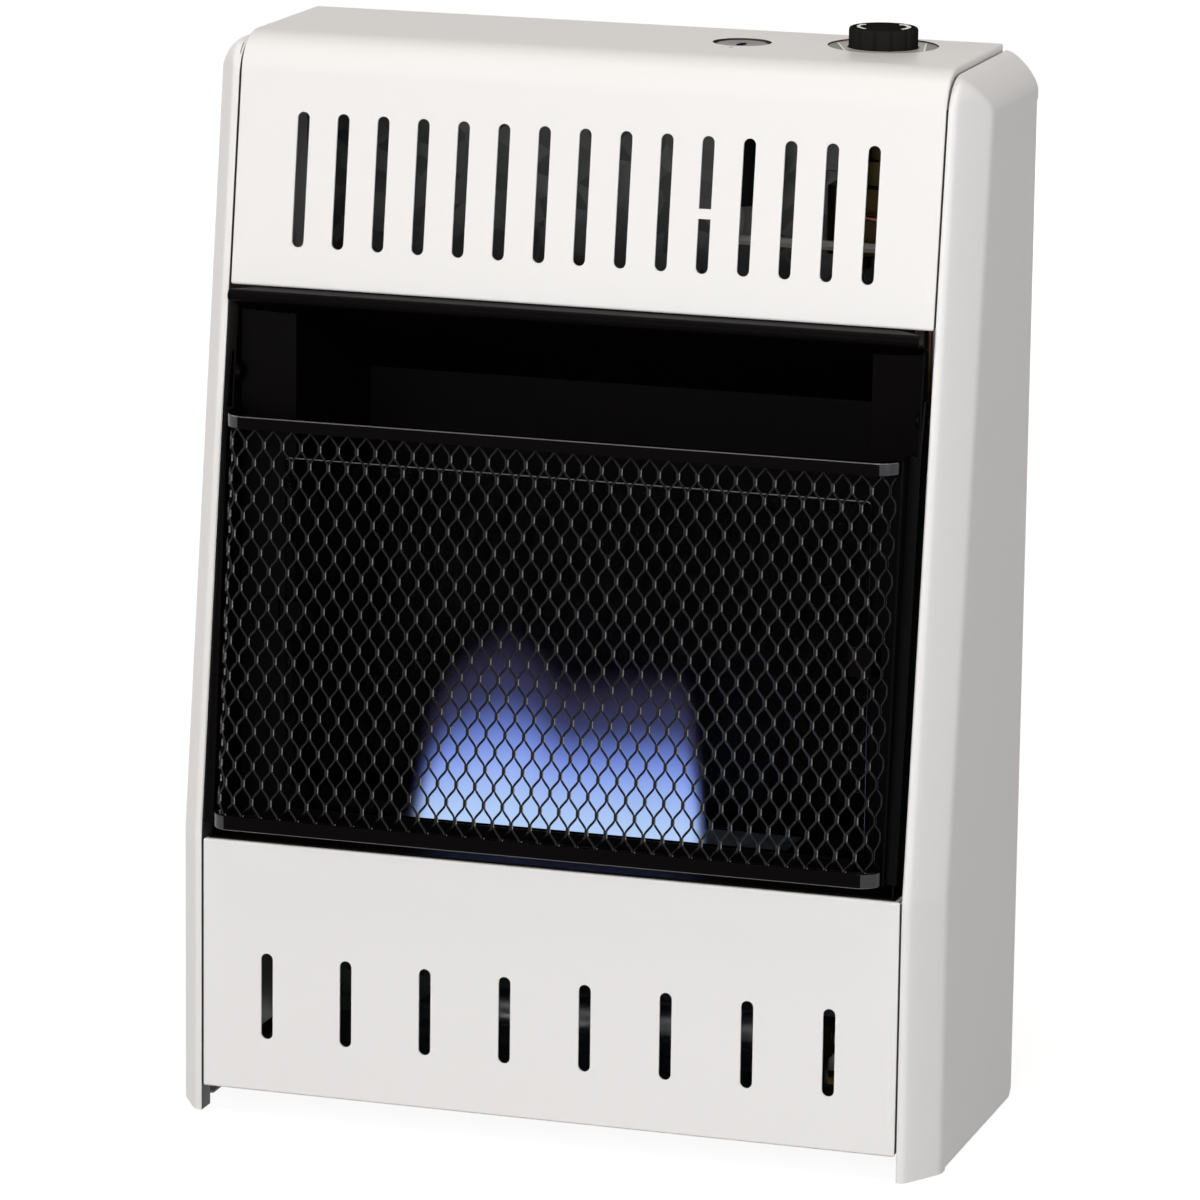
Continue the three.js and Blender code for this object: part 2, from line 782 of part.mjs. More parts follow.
// Rolled nose over the mouth, then the ceiling that slopes down to the back plate
function fireboxHood() {
  const rear = seat - fireboxBackDepth;
  const nose = arcPoints(hoodNoseRadius - hoodNoseDepth, noseHeight, hoodNoseRadius, -rightTurn, -3 * rightTurn, 6);
  const line = [
    [rear, hoodRearHeight - seat * hoodRise],
    [-slopeTop, slopeTopHeight],
    ...nose,
    [hoodTopReturn - hoodNoseDepth, noseHeight + hoodNoseRadius],
  ];
  const sheet = alongX(sheetShape(line, -fireboxSheet), -hoodNoseHalfWidth, hoodNoseHalfWidth);
  const mouth = fireboxMouthWidth / 2 + fireboxSheet;
  const throat = throatWidth / 2 + fireboxSheet;
  const rearHalf = backWidth / 2 + fireboxSheet;
  const plan = [
    [mouth, -bottomDepth],
    [mouth, -mouthReturnDepth],
    [throat, -throatDepth],
    [rearHalf, overrun - fireboxBackDepth],
  ];
  const outline = [...plan, ...plan.map(([x, y]) => [-x, y]).reverse()];
  return sheet.intersect(alongZ(shapeOf(outline), wallFoot, windowTop));
}

function fireboxFloor() {
  const front = -(bottomDepth - casingSheet - seat);
  const mouth = fireboxMouthWidth / 2 + fireboxSheet;
  const throat = throatWidth / 2 + fireboxSheet;
  const plan = [
    [mouth, front],
    [mouth, -mouthReturnDepth],
    [throat, -throatDepth],
    [backWidth / 2, -fireboxBackDepth],
    [backWidth / 2, -(casingSheet + seat)],
  ];
  const outline = shapeOf([...plan, ...plan.map(([x, y]) => [-x, y]).reverse()]);
  const plate = alongZ(outline, floorTop - fireboxFloorThickness, floorTop);
  const half = burnerOpeningLength / 2;
  const wide = burnerOpeningWidth / 2;
  const centre = burnerCentre + burnerRadius;
  const opening = block(
    centre - half, centre + half, -burnerDepth - wide, wide - burnerDepth, floorTop - overrun, floorTop + overrun,
  );
  return cut(plate, opening);
}

// Window glass

const channelFloor = floorTop + seat;
const glassFront = glassRearDepth + glassThickness;

function windowGlass() {
  const half = glassWidth / 2;
  const foot = channelFloor + fireboxSheet + seat;
  const radius = glassCornerRadius;
  const corners = [
    ...arcPoints(half - radius, glassTop - radius, radius, 0, rightTurn, 3),
    ...arcPoints(radius - half, glassTop - radius, radius, rightTurn, 2 * rightTurn, 3),
    [-half, foot],
    [half, foot],
  ];
  return alongY(shapeOf(corners), -glassRearDepth, -glassFront);
}

function glassChannel() {
  const half = channelLength / 2;
  const rear = seat + fireboxSheet - glassRearDepth;
  const front = -(glassFront + seat + fireboxSheet);
  const outer = block(-half, half, front, rear, channelFloor, channelFloor + channelHeight);
  const groove = block(
    -half - overrun, half + overrun, front + fireboxSheet, rear - fireboxSheet,
    channelFloor + fireboxSheet, channelFloor + channelHeight + overrun,
  );
  return cut(outer, groove);
}

// Spring clip from the firebox side to the edge of the glass
function glassClip() {
  const edge = glassWidth / 2;
  const front = -(glassFront + seat);
  const slope = (mouthReturnDepth - throatDepth) / (fireboxMouthWidth - throatWidth) * 2;
  const facet = (x) => [x, slope * (throatWidth / 2 - x) - throatDepth - fireboxSheet - 2 * seat];
  const line = [
    [edge - clipReach, front],
    [edge + seat + fireboxSheet, front],
    facet(edge + clipReach / 2),
    facet(edge + 2 * clipReach),
  ];
  return alongZ(sheetShape(line, -fireboxSheet), clipCentre - clipHeight / 2, clipCentre + clipHeight / 2);
}

// Guard

// Plan line of the guard at an offset behind its outer face, from the left end to the right
function guardLine(offset) {
  const radius = guardCornerRadius - offset;
  const left = arcPoints(-guardFlatHalf, guardCornerRadius, radius, 2 * rightTurn, 3 * rightTurn, railCornerSteps);
  const right = arcPoints(guardFlatHalf, guardCornerRadius, radius, -rightTurn, 0, railCornerSteps);
  return [...left, ...right];
}

function guardBand(outer, inner, depth, low, high) {
  const shape = [...guardLine(outer), ...guardLine(inner).reverse()].map(([x, y]) => [x, y - depth]);
  return alongZ(shapeOf(shape), low, high);
}

const railDepth = 2 * railWall + railThroat;

function guardTopRail() {
  const depth = guardTopDepth;
  const low = topRailTop - topRailHeight;
  const face = guardBand(0, railWall, depth, low, topRailTop);
  const web = guardBand(0, railDepth, depth, topRailTop - railWall, topRailTop);
  const lip = guardBand(railDepth - railWall, railDepth, depth, low + railWall, topRailTop);
  return joined(face, web, lip);
}

function guardBottomRail() {
  const depth = guardBottomDepth;
  const high = bottomRailBottom + bottomRailHeight;
  const face = guardBand(0, railWall, depth, bottomRailBottom, high);
  const web = guardBand(0, railDepth, depth, bottomRailBottom, bottomRailBottom + railWall);
  const lip = guardBand(railDepth - railWall, railDepth, depth, bottomRailBottom, high - railWall);
  return joined(face, web, lip);
}

// A place on the guard's plan by the distance along its middle line, at an offset behind the face
function guardPlace(distance, offset) {
  const middle = railWall + railThroat / 2;
  const arc = (guardCornerRadius - middle) * rightTurn;
  const radius = guardCornerRadius - offset;
  const fromLeft = distance - arc;
  if (fromLeft < 0) {
    const angle = (fromLeft / arc) * rightTurn - rightTurn;
    return [radius * Math.cos(angle) - guardFlatHalf, guardCornerRadius + radius * Math.sin(angle)];
  }
  const fromRight = fromLeft - 2 * guardFlatHalf;
  if (fromRight > 0) {
    const angle = (fromRight / arc) * rightTurn - rightTurn;
    return [radius * Math.cos(angle) + guardFlatHalf, guardCornerRadius + radius * Math.sin(angle)];
  }
  return [fromLeft - guardFlatHalf, offset];
}

// Expanded metal: diamond knuckles on a staggered grid, each joined to its diagonal neighbours by strands.
function guardMesh() {
  const middle = railWall + railThroat / 2;
  const length = 2 * (guardFlatHalf + (guardCornerRadius - middle) * rightTurn);
  const low = bottomRailBottom + bottomRailHeight - meshTuck;
  const high = topRailTop - topRailHeight + meshTuck;
  const stepAlong = (length - knuckleWidth) / (2 * meshColumns);
  const stepUp = (high - low - knuckleLength) / (2 * meshRows);
  const ringShares = [[0, -0.5], [0.5, 0], [0, 0.5], [-0.5, 0]];
  const places = [];
  const first = new Map();
  for (let j = 0; j <= 2 * meshRows; j += 1) {
    for (let i = j % 2; i <= 2 * meshColumns; i += 2) {
      first.set(`${i} ${j}`, places.length);
      for (const face of [-1, 1]) {
        for (const [across, up] of ringShares) {
          const along = knuckleWidth / 2 + i * stepAlong + across * knuckleWidth;
          const z = low + knuckleLength / 2 + j * stepUp + up * knuckleLength;
          const [x, y] = guardPlace(along, middle + (face * meshThickness) / 2);
          places.push([x, y - guardDepth(z), z]);
        }
      }
    }
  }
  return netSolid(first, places);
}

// Each knuckle is its front corners and then its rear ones, in the order foot, right, head, left
function netSolid(first, places) {
  const corners = [];
  const rear = (corner) => corner + knuckleCornerCount;
  const rightOf = (knuckle) => knuckle + 1;
  const leftOf = (knuckle) => rear(knuckle) - 1;
  const quad = (a, b, c, d) => corners.push(a, b, c, a, c, d);
  const wall = (p, q) => quad(p, rear(p), rear(q), q);
  const plate = (a, b, c, d) => {
    quad(a, b, c, d);
    quad(rear(d), rear(c), rear(b), rear(a));
  };
  for (const [key, node] of first) {
    const [i, j] = key.split(' ').map(Number);
    const near = (across, up) => first.get(`${i + across} ${j + up}`);
    const [foot, right, head, left] = [node, rightOf(node), node + 2, leftOf(node)];
    plate(foot, right, head, left);
    const upRight = near(1, 1);
    const upLeft = near(-1, 1);
    if (upRight === undefined) wall(right, head);
    else {
      plate(right, upRight, leftOf(upRight), head);
      wall(right, upRight);
      wall(leftOf(upRight), head);
    }
    if (upLeft === undefined) wall(head, left);
    else {
      plate(head, rightOf(upLeft), upLeft, left);
      wall(head, rightOf(upLeft));
      wall(upLeft, left);
    }
    if (near(1, -1) === undefined) wall(foot, right);
    if (near(-1, -1) === undefined) wall(left, foot);
  }
  const geometry = new THREE.BufferGeometry();
  geometry.setAttribute('position', new THREE.Float32BufferAttribute(places.flat(), 3));
  geometry.setIndex(corners);
  return toSolid(geometry);
}

// Right end of the guard: a flat cheek, a step out to the casing's gap, and an ear for the screw
function guardRightPlate() {
  const low = bottomRailBottom;
  const inner = halfGuard + seat;
  const cheekFront = (z) => guardCornerRadius - guardPlateLap - guardDepth(z);
  const step = (z, back) => back - guardStandoff - frontDepth(z);
  const strip = (z0, z1, from, to) => shapeOf([[from(z0), z0], [to(z0), z0], [to(z1), z1], [from(z1), z1]]);
  const behind = (back) => (z) => step(z, back);
  const cheek = alongX(strip(low, topRailTop, cheekFront, behind(guardPlate)), inner, inner + guardPlate);
  const joggle = alongX(strip(low, topRailTop, behind(0), behind(guardPlate)), inner, earHalfWidth);
  const tail = strip(low, topRailTop, behind(0), behind(plateTailDepth));
  const earRear = earBehindScrew - guardScrewDepth;
  const ear = shapeOf([
    [step(topRailTop - earDepth, 0), topRailTop - earDepth],
    [earRear, topRailTop - earDepth],
    [earRear, earTop],
    [seat - frontDepth(earTop), earTop],
    [step(topRailTop, 0), topRailTop],
  ]);
  const outer = joined(...[tail, ear].map((shape) => alongX(shape, earHalfWidth - guardPlate, earHalfWidth)));
  const hole = rod(
    -guardScrewDepth, guardScrewHeight, guardScrewRadius + seat, earHalfWidth - overrun, earHalfWidth + overrun, 12,
  );
  return cut(joined(cheek, joggle, outer), hole);
}

// Pan head inside the mouth, shank out through the firebox side and the guard's ear
function guardRightScrew() {
  const seatFace = fireboxMouthWidth / 2 - fireboxSheet - seat;
  const crown = seatFace - guardScrewHeadHeight;
  const profile = [
    [0, crown],
    [guardScrewCrownRadius, crown],
    [guardScrewHeadRadius, crown + guardScrewHeadHeight / 2],
    [guardScrewHeadRadius, seatFace],
    [guardScrewRadius, seatFace],
    [guardScrewRadius, earHalfWidth + seat],
    [0, earHalfWidth + seat],
  ];
  return lying(profile, -guardScrewDepth, guardScrewHeight, 12);
}

// Burner

const burnerLeft = burnerCentre - burnerLength / 2;
const burnerRight = burnerCentre + burnerLength / 2;

function burnerTube() {
  const inner = burnerRadius - burnerWall;
  const hollowLeft = burnerLeft + burnerWall;
  const hollowRight = burnerRight - burnerWall;
  const outerProfile = [
    [0, burnerLeft],
    [burnerRadius - burnerEndChamfer, burnerLeft],
    [burnerRadius, burnerLeft + burnerEndChamfer],
    [burnerRadius, burnerRight - burnerEndChamfer],
    [burnerRadius - burnerEndChamfer, burnerRight],
    [0, burnerRight],
  ];
  const tube = lying(outerProfile, -burnerDepth, burnerHeight, 24);
  const hollow = rod(-burnerDepth, burnerHeight, inner, hollowLeft + burnerEndChamfer, hollowRight - burnerEndChamfer, 24);
  const room = burnerLength - 4 * burnerEndChamfer;
  const pitch = room / portCount;
  const ports = Array.from({ length: portCount }, (_, i) => {
    const centre = burnerLeft + 2 * burnerEndChamfer + (i + 0.5) * pitch;
    const half = portWidth / 2;
    return rectangle(centre - half, centre + half, -burnerDepth - portLength / 2, portLength / 2 - burnerDepth);
  });
  const inlet = upright(mixingRiser, -burnerDepth, mixingBore, burnerHeight - burnerRadius - overrun, burnerHeight, 14);
  return cut(tube, hollow, alongZ(ports, burnerHeight, burnerHeight + burnerRadius + overrun), inlet);
}

// Mixing tube: bell mouth at the injector, along under the burner, then up into it
function mixingTube() {
  const height = mixingHeight;
  const riserTop = burnerHeight - burnerRadius - seat;
  const path = new THREE.CurvePath();
  const corner = new THREE.Vector3(mixingRiser, -burnerDepth, height);
  const enter = new THREE.Vector3(mixingRiser + mixingBend, -burnerDepth, height);
  const leave = new THREE.Vector3(mixingRiser, -burnerDepth, height + mixingBend);
  const mouth = new THREE.Vector3(mixingMouth - mixingMouthLength, -burnerDepth, height);
  path.add(new THREE.LineCurve3(mouth, enter));
  path.add(new THREE.QuadraticBezierCurve3(enter, corner, leave));
  path.add(new THREE.LineCurve3(leave, new THREE.Vector3(mixingRiser, -burnerDepth, riserTop)));
  const outer = sweep(path, circleShape(0, 0, mixingRadius, 14));
  const bell = lying([
    [0, mixingMouth - mixingMouthLength - overrun],
    [mixingRadius, mixingMouth - mixingMouthLength - overrun],
    [mixingRadius, mixingMouth - mixingMouthLength],
    [mixingMouthRadius, mixingMouth],
    [0, mixingMouth],
  ], -burnerDepth, height, 14);
  const wall = mixingRadius - mixingBore;
  const bellBore = lying([
    [0, mixingMouth - mixingMouthLength - overrun],
    [mixingBore, mixingMouth - mixingMouthLength - overrun],
    [mixingBore, mixingMouth - mixingMouthLength],
    [mixingMouthRadius - wall, mixingMouth + wall],
    [0, mixingMouth + wall],
  ], -burnerDepth, height, 14);
  const bore = sweep(path, circleShape(0, 0, mixingBore, 14));
  const riserMouth = upright(mixingRiser, -burnerDepth, mixingBore, riserTop - overrun, riserTop + overrun, 14);
  return cut(joined(outer, bell), bore, bellBore, riserMouth);
}

// Stand from the base tray with a round saddle under the burner
function burnerBracket(place) {
  const half = burnerBracketWidth / 2;
  const foot = trayTop + seat;
  const cradle = burnerRadius + seat;
  const dip = Math.asin(saddleDrop / cradle);
  const saddle = arcPoints(-burnerDepth, burnerHeight, cradle, dip - 2 * rightTurn, -dip, 10);
  const plate = shapeOf([[-burnerDepth - half, foot], [half - burnerDepth, foot],
    [half - burnerDepth, saddle.at(-1)[1]], ...saddle.reverse(), [-burnerDepth - half, saddle.at(-1)[1]]]);
  const hole = circleShape(-burnerDepth, mixingHeight, mixingRadius + seat, 16);
  const wall = alongX(plate, place, place + burnerBracketSheet);
  const eye = alongX(hole, place - overrun, place + burnerBracketSheet + overrun);
  const flange = block(
    place, place + bracketFoot, -burnerDepth - half, half - burnerDepth, foot, foot + burnerBracketSheet,
  );
  return cut(joined(wall, flange), eye);
}

// Brass nozzle that blows gas into the bell mouth
function injector() {
  const rear = mixingMouth + holderGap + injectorLength;
  const tip = mixingMouth + holderGap - injectorLength / 2;
  return lying([
    [0, tip],
    [injectorRadius / 2, tip],
    [injectorRadius, tip + injectorLength / 2],
    [injectorRadius, rear - seat],
    [0, rear - seat],
  ], -burnerDepth, mixingHeight, 10);
}

const holderLeft = mixingMouth + holderGap + injectorLength;

// Brass elbow on its foot: the nozzle in front, the burner pipe from behind
function injectorHolder() {
  const half = holderWidth / 2;
  const foot = trayTop + seat;
  const body = block(
    holderLeft, holderLeft + holderLength, -burnerDepth - half, half - burnerDepth,
    mixingHeight - half, mixingHeight + half,
  );
  const post = block(
    holderLeft + half / 2, holderLeft + holderLength - half / 2, -burnerDepth - half / 2, half / 2 - burnerDepth,
    foot, mixingHeight,
  );
  const base = block(
    holderLeft, holderLeft + holderLength, -burnerDepth - half, half - burnerDepth, foot, foot + holderFoot,
  );
  return joined(body, post, base);
}

// Pilot

function pilotBracket() {
  const left = pilotPlace - pilotPlateLength / 2;
  const right = pilotPlace + pilotPlateLength / 2;
  const front = -pilotDepth - pilotPlateWidth / 2;
  const rear = front + pilotPlateWidth;
  const top = pilotPlateHeight + pilotPlateSheet;
  const shelf = block(left, right, front, rear, pilotPlateHeight, top);
  const post = block(right - pilotPlateSheet, right, front, rear, pilotPlateHeight, floorTop - fireboxFloorThickness - seat);
  const tab = block(
    right - pilotPlateSheet, right + pilotPlateWidth / 2, front, rear,
    floorTop - fireboxFloorThickness - seat - pilotPlateSheet, floorTop - fireboxFloorThickness - seat,
  );
  const holes = alongZ([
    circleShape(pilotPlace - pilotSpacing, -pilotDepth, electrodeRadius + seat, 12),
    circleShape(pilotPlace, -pilotDepth, pilotRadius + seat, 14),
    circleShape(pilotPlace + sensorSpacing, -pilotDepth, sensorRadius + seat, 12),
  ], pilotPlateHeight - overrun, top + overrun);
  return cut(joined(shelf, post, tab), holes);
}

function pilotBurner() {
  const low = pilotPlateHeight - pilotDrop;
  const high = pilotPlateHeight + pilotHeight;
  const tube = upright(pilotPlace, -pilotDepth, pilotRadius, low, high - pilotHoodLength / 2, 14);
  const hood = upright(pilotPlace, -pilotDepth, pilotHoodRadius, high - pilotHoodLength, high, 14);
  const throat = upright(pilotPlace, -pilotDepth, pilotRadius, high - pilotHoodLength / 2, high + overrun, 14);
  const mouth = block(
    pilotPlace - pilotHoodRadius - overrun, pilotPlace - pilotRadius / 2,
    -pilotDepth - pilotRadius / 2, pilotRadius / 2 - pilotDepth, high - pilotHoodLength / 2, high + overrun,
  );
  return cut(joined(tube, hood), throat, mouth);
}

function pilotElectrode() {
  const x = pilotPlace - pilotSpacing;
  const ceramicTop = pilotPlateHeight + pilotHeight - pilotHoodLength;
  const ceramic = upright(x, -pilotDepth, electrodeRadius, pilotPlateHeight - pilotDrop, ceramicTop, 12);
  const tip = pipe([
    [x, -pilotDepth, ceramicTop - wireLength / 2],
    [x, -pilotDepth, ceramicTop + wireLength],
    [x + wireLength / 2, -pilotDepth, ceramicTop + wireLength + electrodeRadius],
  ], electrodeWireRadius, leadSides);
  return joined(ceramic, tip);
}

function thermocouple() {
  const x = pilotPlace + sensorSpacing;
  const high = pilotPlateHeight + pilotHeight - sensorRadius;
  return turned([
    [0, pilotPlateHeight - sensorDrop],
    [sensorRadius, pilotPlateHeight - sensorDrop],
    [sensorRadius, high - sensorRadius],
    [sensorRadius / 2, high],
    [0, high],
  ], x, -pilotDepth, 12);
}

// Gas control

const valveFoot = valveTop - valveHeight;
const plugBottom = valveTop + valveBossHeight - plugDepth;
const plugTop = valveTop + valveBossHeight + plugRise;
const stemBottom = plugBottom + stemSlack + pushTravel + seat;
const stemTop = knobTop - stemTopCover - knobCrown / 2;

function valveBody() {
  const half = valveWidth / 2;
  const deep = valveLength / 2;
  const c = valveCorner;
  const plan = shapeOf([
    [dialPlace - half + c, -dialDepth - deep], [dialPlace + half - c, -dialDepth - deep],
    [dialPlace + half, c - dialDepth - deep], [dialPlace + half, deep - dialDepth - c],
    [dialPlace + half - c, deep - dialDepth], [dialPlace - half + c, deep - dialDepth],
    [dialPlace - half, deep - dialDepth - c], [dialPlace - half, c - dialDepth - deep],
  ]);
  const body = alongZ(plan, valveFoot, valveTop);
  const boss = upright(dialPlace, -dialDepth, valveBossRadius, valveTop - overrun, valveTop + valveBossHeight, 20);
  const bore = upright(
    dialPlace, -dialDepth, plugRadius + seat, plugBottom - seat, valveTop + valveBossHeight + overrun, 18,
  );
  return cut(joined(body, boss), bore);
}

// The turning core of the valve, with a flat-sided hole for the stem
function valvePlug() {
  const core = upright(dialPlace, -dialDepth, plugRadius, plugBottom, plugTop, 18);
  return cut(core, stemForm(stemRadius + seat, stemFlat - seat, plugBottom + stemSlack, plugTop + overrun));
}

function stemForm(radius, flat, low, high) {
  const round = upright(dialPlace, -dialDepth, radius, low, high, 14);
  const face = dialPlace + stemRadius - flat;
  const away = block(
    face, face + stemRadius + overrun, -dialDepth - stemRadius - overrun, stemRadius + overrun - dialDepth,
    low - overrun, high + overrun,
  );
  return cut(round, away);
}

function valveStem() {
  return stemForm(stemRadius, stemFlat, stemBottom, stemTop);
}

// Fluted outline: broad lobes with narrow grooves between them
function knobOutline() {
  const share = knobGrooveWidth / knobRadius;
  const points = [];
  for (let i = 0; i < knobLobes; i += 1) {
    const start = (2 * Math.PI * i) / knobLobes + share / 2;
    const end = (2 * Math.PI * (i + 1)) / knobLobes - share / 2;
    points.push(...arcPoints(dialPlace, -dialDepth, knobRadius, start, end, 3));
    const middle = end + share / 2;
    const depth = knobRadius - knobGroove;
    points.push([dialPlace + depth * Math.cos(middle), depth * Math.sin(middle) - dialDepth]);
  }
  return shapeOf(points);
}

function controlKnob() {
  const rise = knobTop - knobCrown;
  const fluted = alongZ(knobOutline(), knobBottom, knobTop);
  const reach = knobRadius + overrun;
  const form = turned([
    [0, knobBottom],
    [reach, knobBottom],
    [reach, knobTop - overrun],
    [knobRadius, knobTop - knobEdge],
    [knobRadius - knobEdge / 3, knobTop - knobEdge / 3],
    [knobRadius - knobEdge, knobTop],
    [0, knobTop],
  ], dialPlace, -dialDepth, 36);
  const hollow = upright(dialPlace, -dialDepth, knobRadius - knobWall, knobBottom - overrun, rise, 24);
  const hub = upright(dialPlace, -dialDepth, knobHubRadius, knobBottom + knobWall, rise + knobCrown / 2, 18);
  const bore = stemForm(stemRadius + seat, stemFlat - seat, knobBottom - overrun, stemTop + seat);
  return cut(joined(cut(fluted.intersect(form), hollow), hub), bore);
}

// Ring under the top that carries the dial marks, open for the knob
function dialPlate() {
  const high = overallHeight - casingSheet - seat;
  const low = high - dialThickness;
  const outer = dialHoleRadius + dialRimOverlap;
  const inner = knobRadius + knobClearance;
  return turned([[inner, low], [outer, low], [outer, high], [inner, high], [inner, low]], dialPlace, -dialDepth, 40);
}

// Hat-section bracket between the back panel and the valve
function valveBracket() {
  const wall = -(casingSheet + seat);
  const face = valveLength / 2 - dialDepth + seat + hatSheet;
  const half = valveWidth / 2 + hatOverhang;
  const line = [
    [dialPlace - half - hatFlange, wall],
    [dialPlace - half, wall],
    [dialPlace - half, face],
    [dialPlace + half, face],
    [dialPlace + half, wall],
    [dialPlace + half + hatFlange, wall],
  ];
  return alongZ(sheetShape(line, -hatSheet), valveFoot, valveTop);
}

function hexNut(x, y, radius, low, high) {
  return upright(x, y, radius, low, high, 6);
}

// Igniter

const igniterRimTop = overallHeight - casingSheet - seat;
const cupFloor = igniterRimTop - igniterCupDepth;
const buttonTop = overallHeight - buttonRecess;
const buttonRadius = igniterHoleRadius - igniterWall;

function igniterBody() {
  const bore = buttonRadius + seat;
  const cup = bore + igniterWall;
  const plungerFoot = buttonTop - buttonCap - plungerLength;
  const profile = [
    [0, cupFloor - barrelLength],
    [barrelRadius, cupFloor - barrelLength],
    [barrelRadius, cupFloor - igniterWall],
    [cup, cupFloor - igniterWall],
    [cup, igniterRimTop - igniterRimThickness],
    [cup + igniterRimOverlap, igniterRimTop - igniterRimThickness],
    [cup + igniterRimOverlap, igniterRimTop],
    [bore, igniterRimTop],
    [bore, cupFloor],
    [plungerRadius + seat, cupFloor],
    [plungerRadius + seat, plungerFoot - igniterTravel - seamGap],
    [0, plungerFoot - igniterTravel - seamGap],
  ];
  return turned(profile, igniterPlace, -igniterDepth, 26);
}

function igniterButton() {
  const low = buttonTop - buttonCap;
  return turned([
    [0, low - plungerLength],
    [plungerRadius, low - plungerLength],
    [plungerRadius, low],
    [buttonRadius, low],
    [buttonRadius, buttonTop - buttonDish],
    [buttonRadius - buttonDish, buttonTop],
    [buttonDishRadius, buttonTop],
    [buttonDishRadius - buttonDish, buttonTop - buttonDish],
    [0, buttonTop - buttonDish],
  ], igniterPlace, -igniterDepth, 26);
}

// Regulator and supply

function regulator() {
  const top = regulatorBase + regulatorBody;
  const cap = top + regulatorCap;
  const body = turned([
    [0, regulatorBase],
    [regulatorRadius, regulatorBase],
    [regulatorRadius, top],
    [regulatorCapRadius, cap],
    [regulatorVentRadius, cap],
    [regulatorVentRadius, cap + regulatorVent],
    [0, cap + regulatorVent],
  ], regulatorPlace, -regulatorDepth, 24);
  const port = rod(
    -regulatorDepth, regulatorBase + regulatorBody / 2, regulatorPortRadius,
    regulatorPlace, regulatorPlace + regulatorPort, 12,
  );
  const stand = block(
    regulatorPlace - regulatorRadius, regulatorPlace - regulatorRadius + bracketFoot,
    -regulatorDepth - regulatorStandWidth / 2, regulatorStandWidth / 2 - regulatorDepth, trayTop + seat, top,
  );
  return joined(body, port, stand);
}

// Hexagon and pipe thread that stand down through the tray
function inletFitting() {
  const high = regulatorBase - seat;
  const hex = hexNut(regulatorPlace, -regulatorDepth, inletHexRadius, high - inletHexHeight, high);
  const thread = upright(regulatorPlace, -regulatorDepth, inletRadius, inletClearOfFloor, high - overrun / 2, 16);
  const bore = upright(regulatorPlace, -regulatorDepth, inletBore, 0, high - inletHexHeight, 12);
  return cut(joined(hex, thread), bore);
}

const valvePortSpread = valveWidth / 4;
const portHeight = regulatorBase + regulatorBody / 2;

function supplyPipe() {
  const start = regulatorPlace + regulatorPort + seat;
  const y = -dialDepth;
  return pipe([
    [start, -regulatorDepth, portHeight],
    [pipeColumn + supplyRadius, -regulatorDepth, portHeight],
    [pipeColumn + supplyRadius, y, portHeight + 2 * pipeBend],
    [pipeColumn + supplyRadius, y, valveFoot - 2 * pipeBend],
    [dialPlace + valvePortSpread, y, valveFoot - 2 * pipeBend],
    [dialPlace + valvePortSpread, y, valveFoot - nutHeight - 2 * seat],
  ], supplyRadius, pipeSides);
}

function burnerPipe() {
  const y = -dialDepth - pipeColumnSpacing;
  const under = valveFoot - burnerPipeDrop;
  const nozzle = holderLeft + holderLength + seat;
  return pipe([
    [nozzle, -burnerDepth, mixingHeight],
    [pipeColumn, -burnerDepth, mixingHeight],
    [pipeColumn, y, mixingHeight + 2 * pipeBend],
    [pipeColumn, y, under],
    [dialPlace - valvePortSpread, y, under],
    [dialPlace - valvePortSpread, -dialDepth, under + pipeBend],
    [dialPlace - valvePortSpread, -dialDepth, valveFoot - nutHeight - 2 * seat],
  ], burnerPipeRadius, pipeSides);
}

// Thin pipes and leads leave the pilot downwards and climb beside the firebox

function pilotPipe() {
  const low = pilotPlateHeight - pilotDrop - seat;
  const run = low - 2 * pipeBend;
  const side = dialPlace + valveWidth / 2 + pilotPortLength;
  const port = valveTop - valveHeight / 2;
  return pipe([
    [pilotPlace, -pilotDepth, low],
    [pilotPlace, -pilotDepth, run],
    [pipeColumn + pipeBend / 2, -pilotDepth, run],
    [pipeColumn + pipeBend / 2, -pilotDepth, port],
    [pipeColumn + pipeBend / 2, -dialDepth, port],
    [side + seat, -dialDepth, port],
  ], pilotPipeRadius, leadSides);
}

function sensorLead() {
  const x = pilotPlace + sensorSpacing;
  const low = pilotPlateHeight - sensorDrop - seat;
  const y = -pilotDepth + pipeColumnSpacing;
  const run = low - leadRun;
  const front = -dialDepth - valveLength / 2 - seat;
  const port = valveTop - sensorPortDrop;
  return pipe([
    [x, -pilotDepth, low],
    [x, -pilotDepth, run],
    [pipeColumn, -pilotDepth, run],
    [pipeColumn, y, run + pipeBend],
    [pipeColumn, y, port],
    [dialPlace, y, port],
    [dialPlace, front, port],
  ], sensorLeadRadius, leadSides);
}

function igniterLead() {
  const low = cupFloor - barrelLength - seat;
  const run = low - pipeBend;
  const x = pilotPlace - pilotSpacing;
  const foot = pilotPlateHeight - pilotDrop - seat;
  const under = foot - leadRun;
  const column = pipeColumn - pipeBend / 2;
  return pipe([
    [igniterPlace, -igniterDepth, low],
    [igniterPlace, -igniterDepth, run],
    [igniterPlace, -leadDepth, run],
    [column, -leadDepth, run],
    [column, -leadDepth, under],
    [x, -leadDepth, under],
    [x, -pilotDepth, under],
    [x, -pilotDepth, foot],
  ], igniterLeadRadius, leadSides);
}

// Finishes

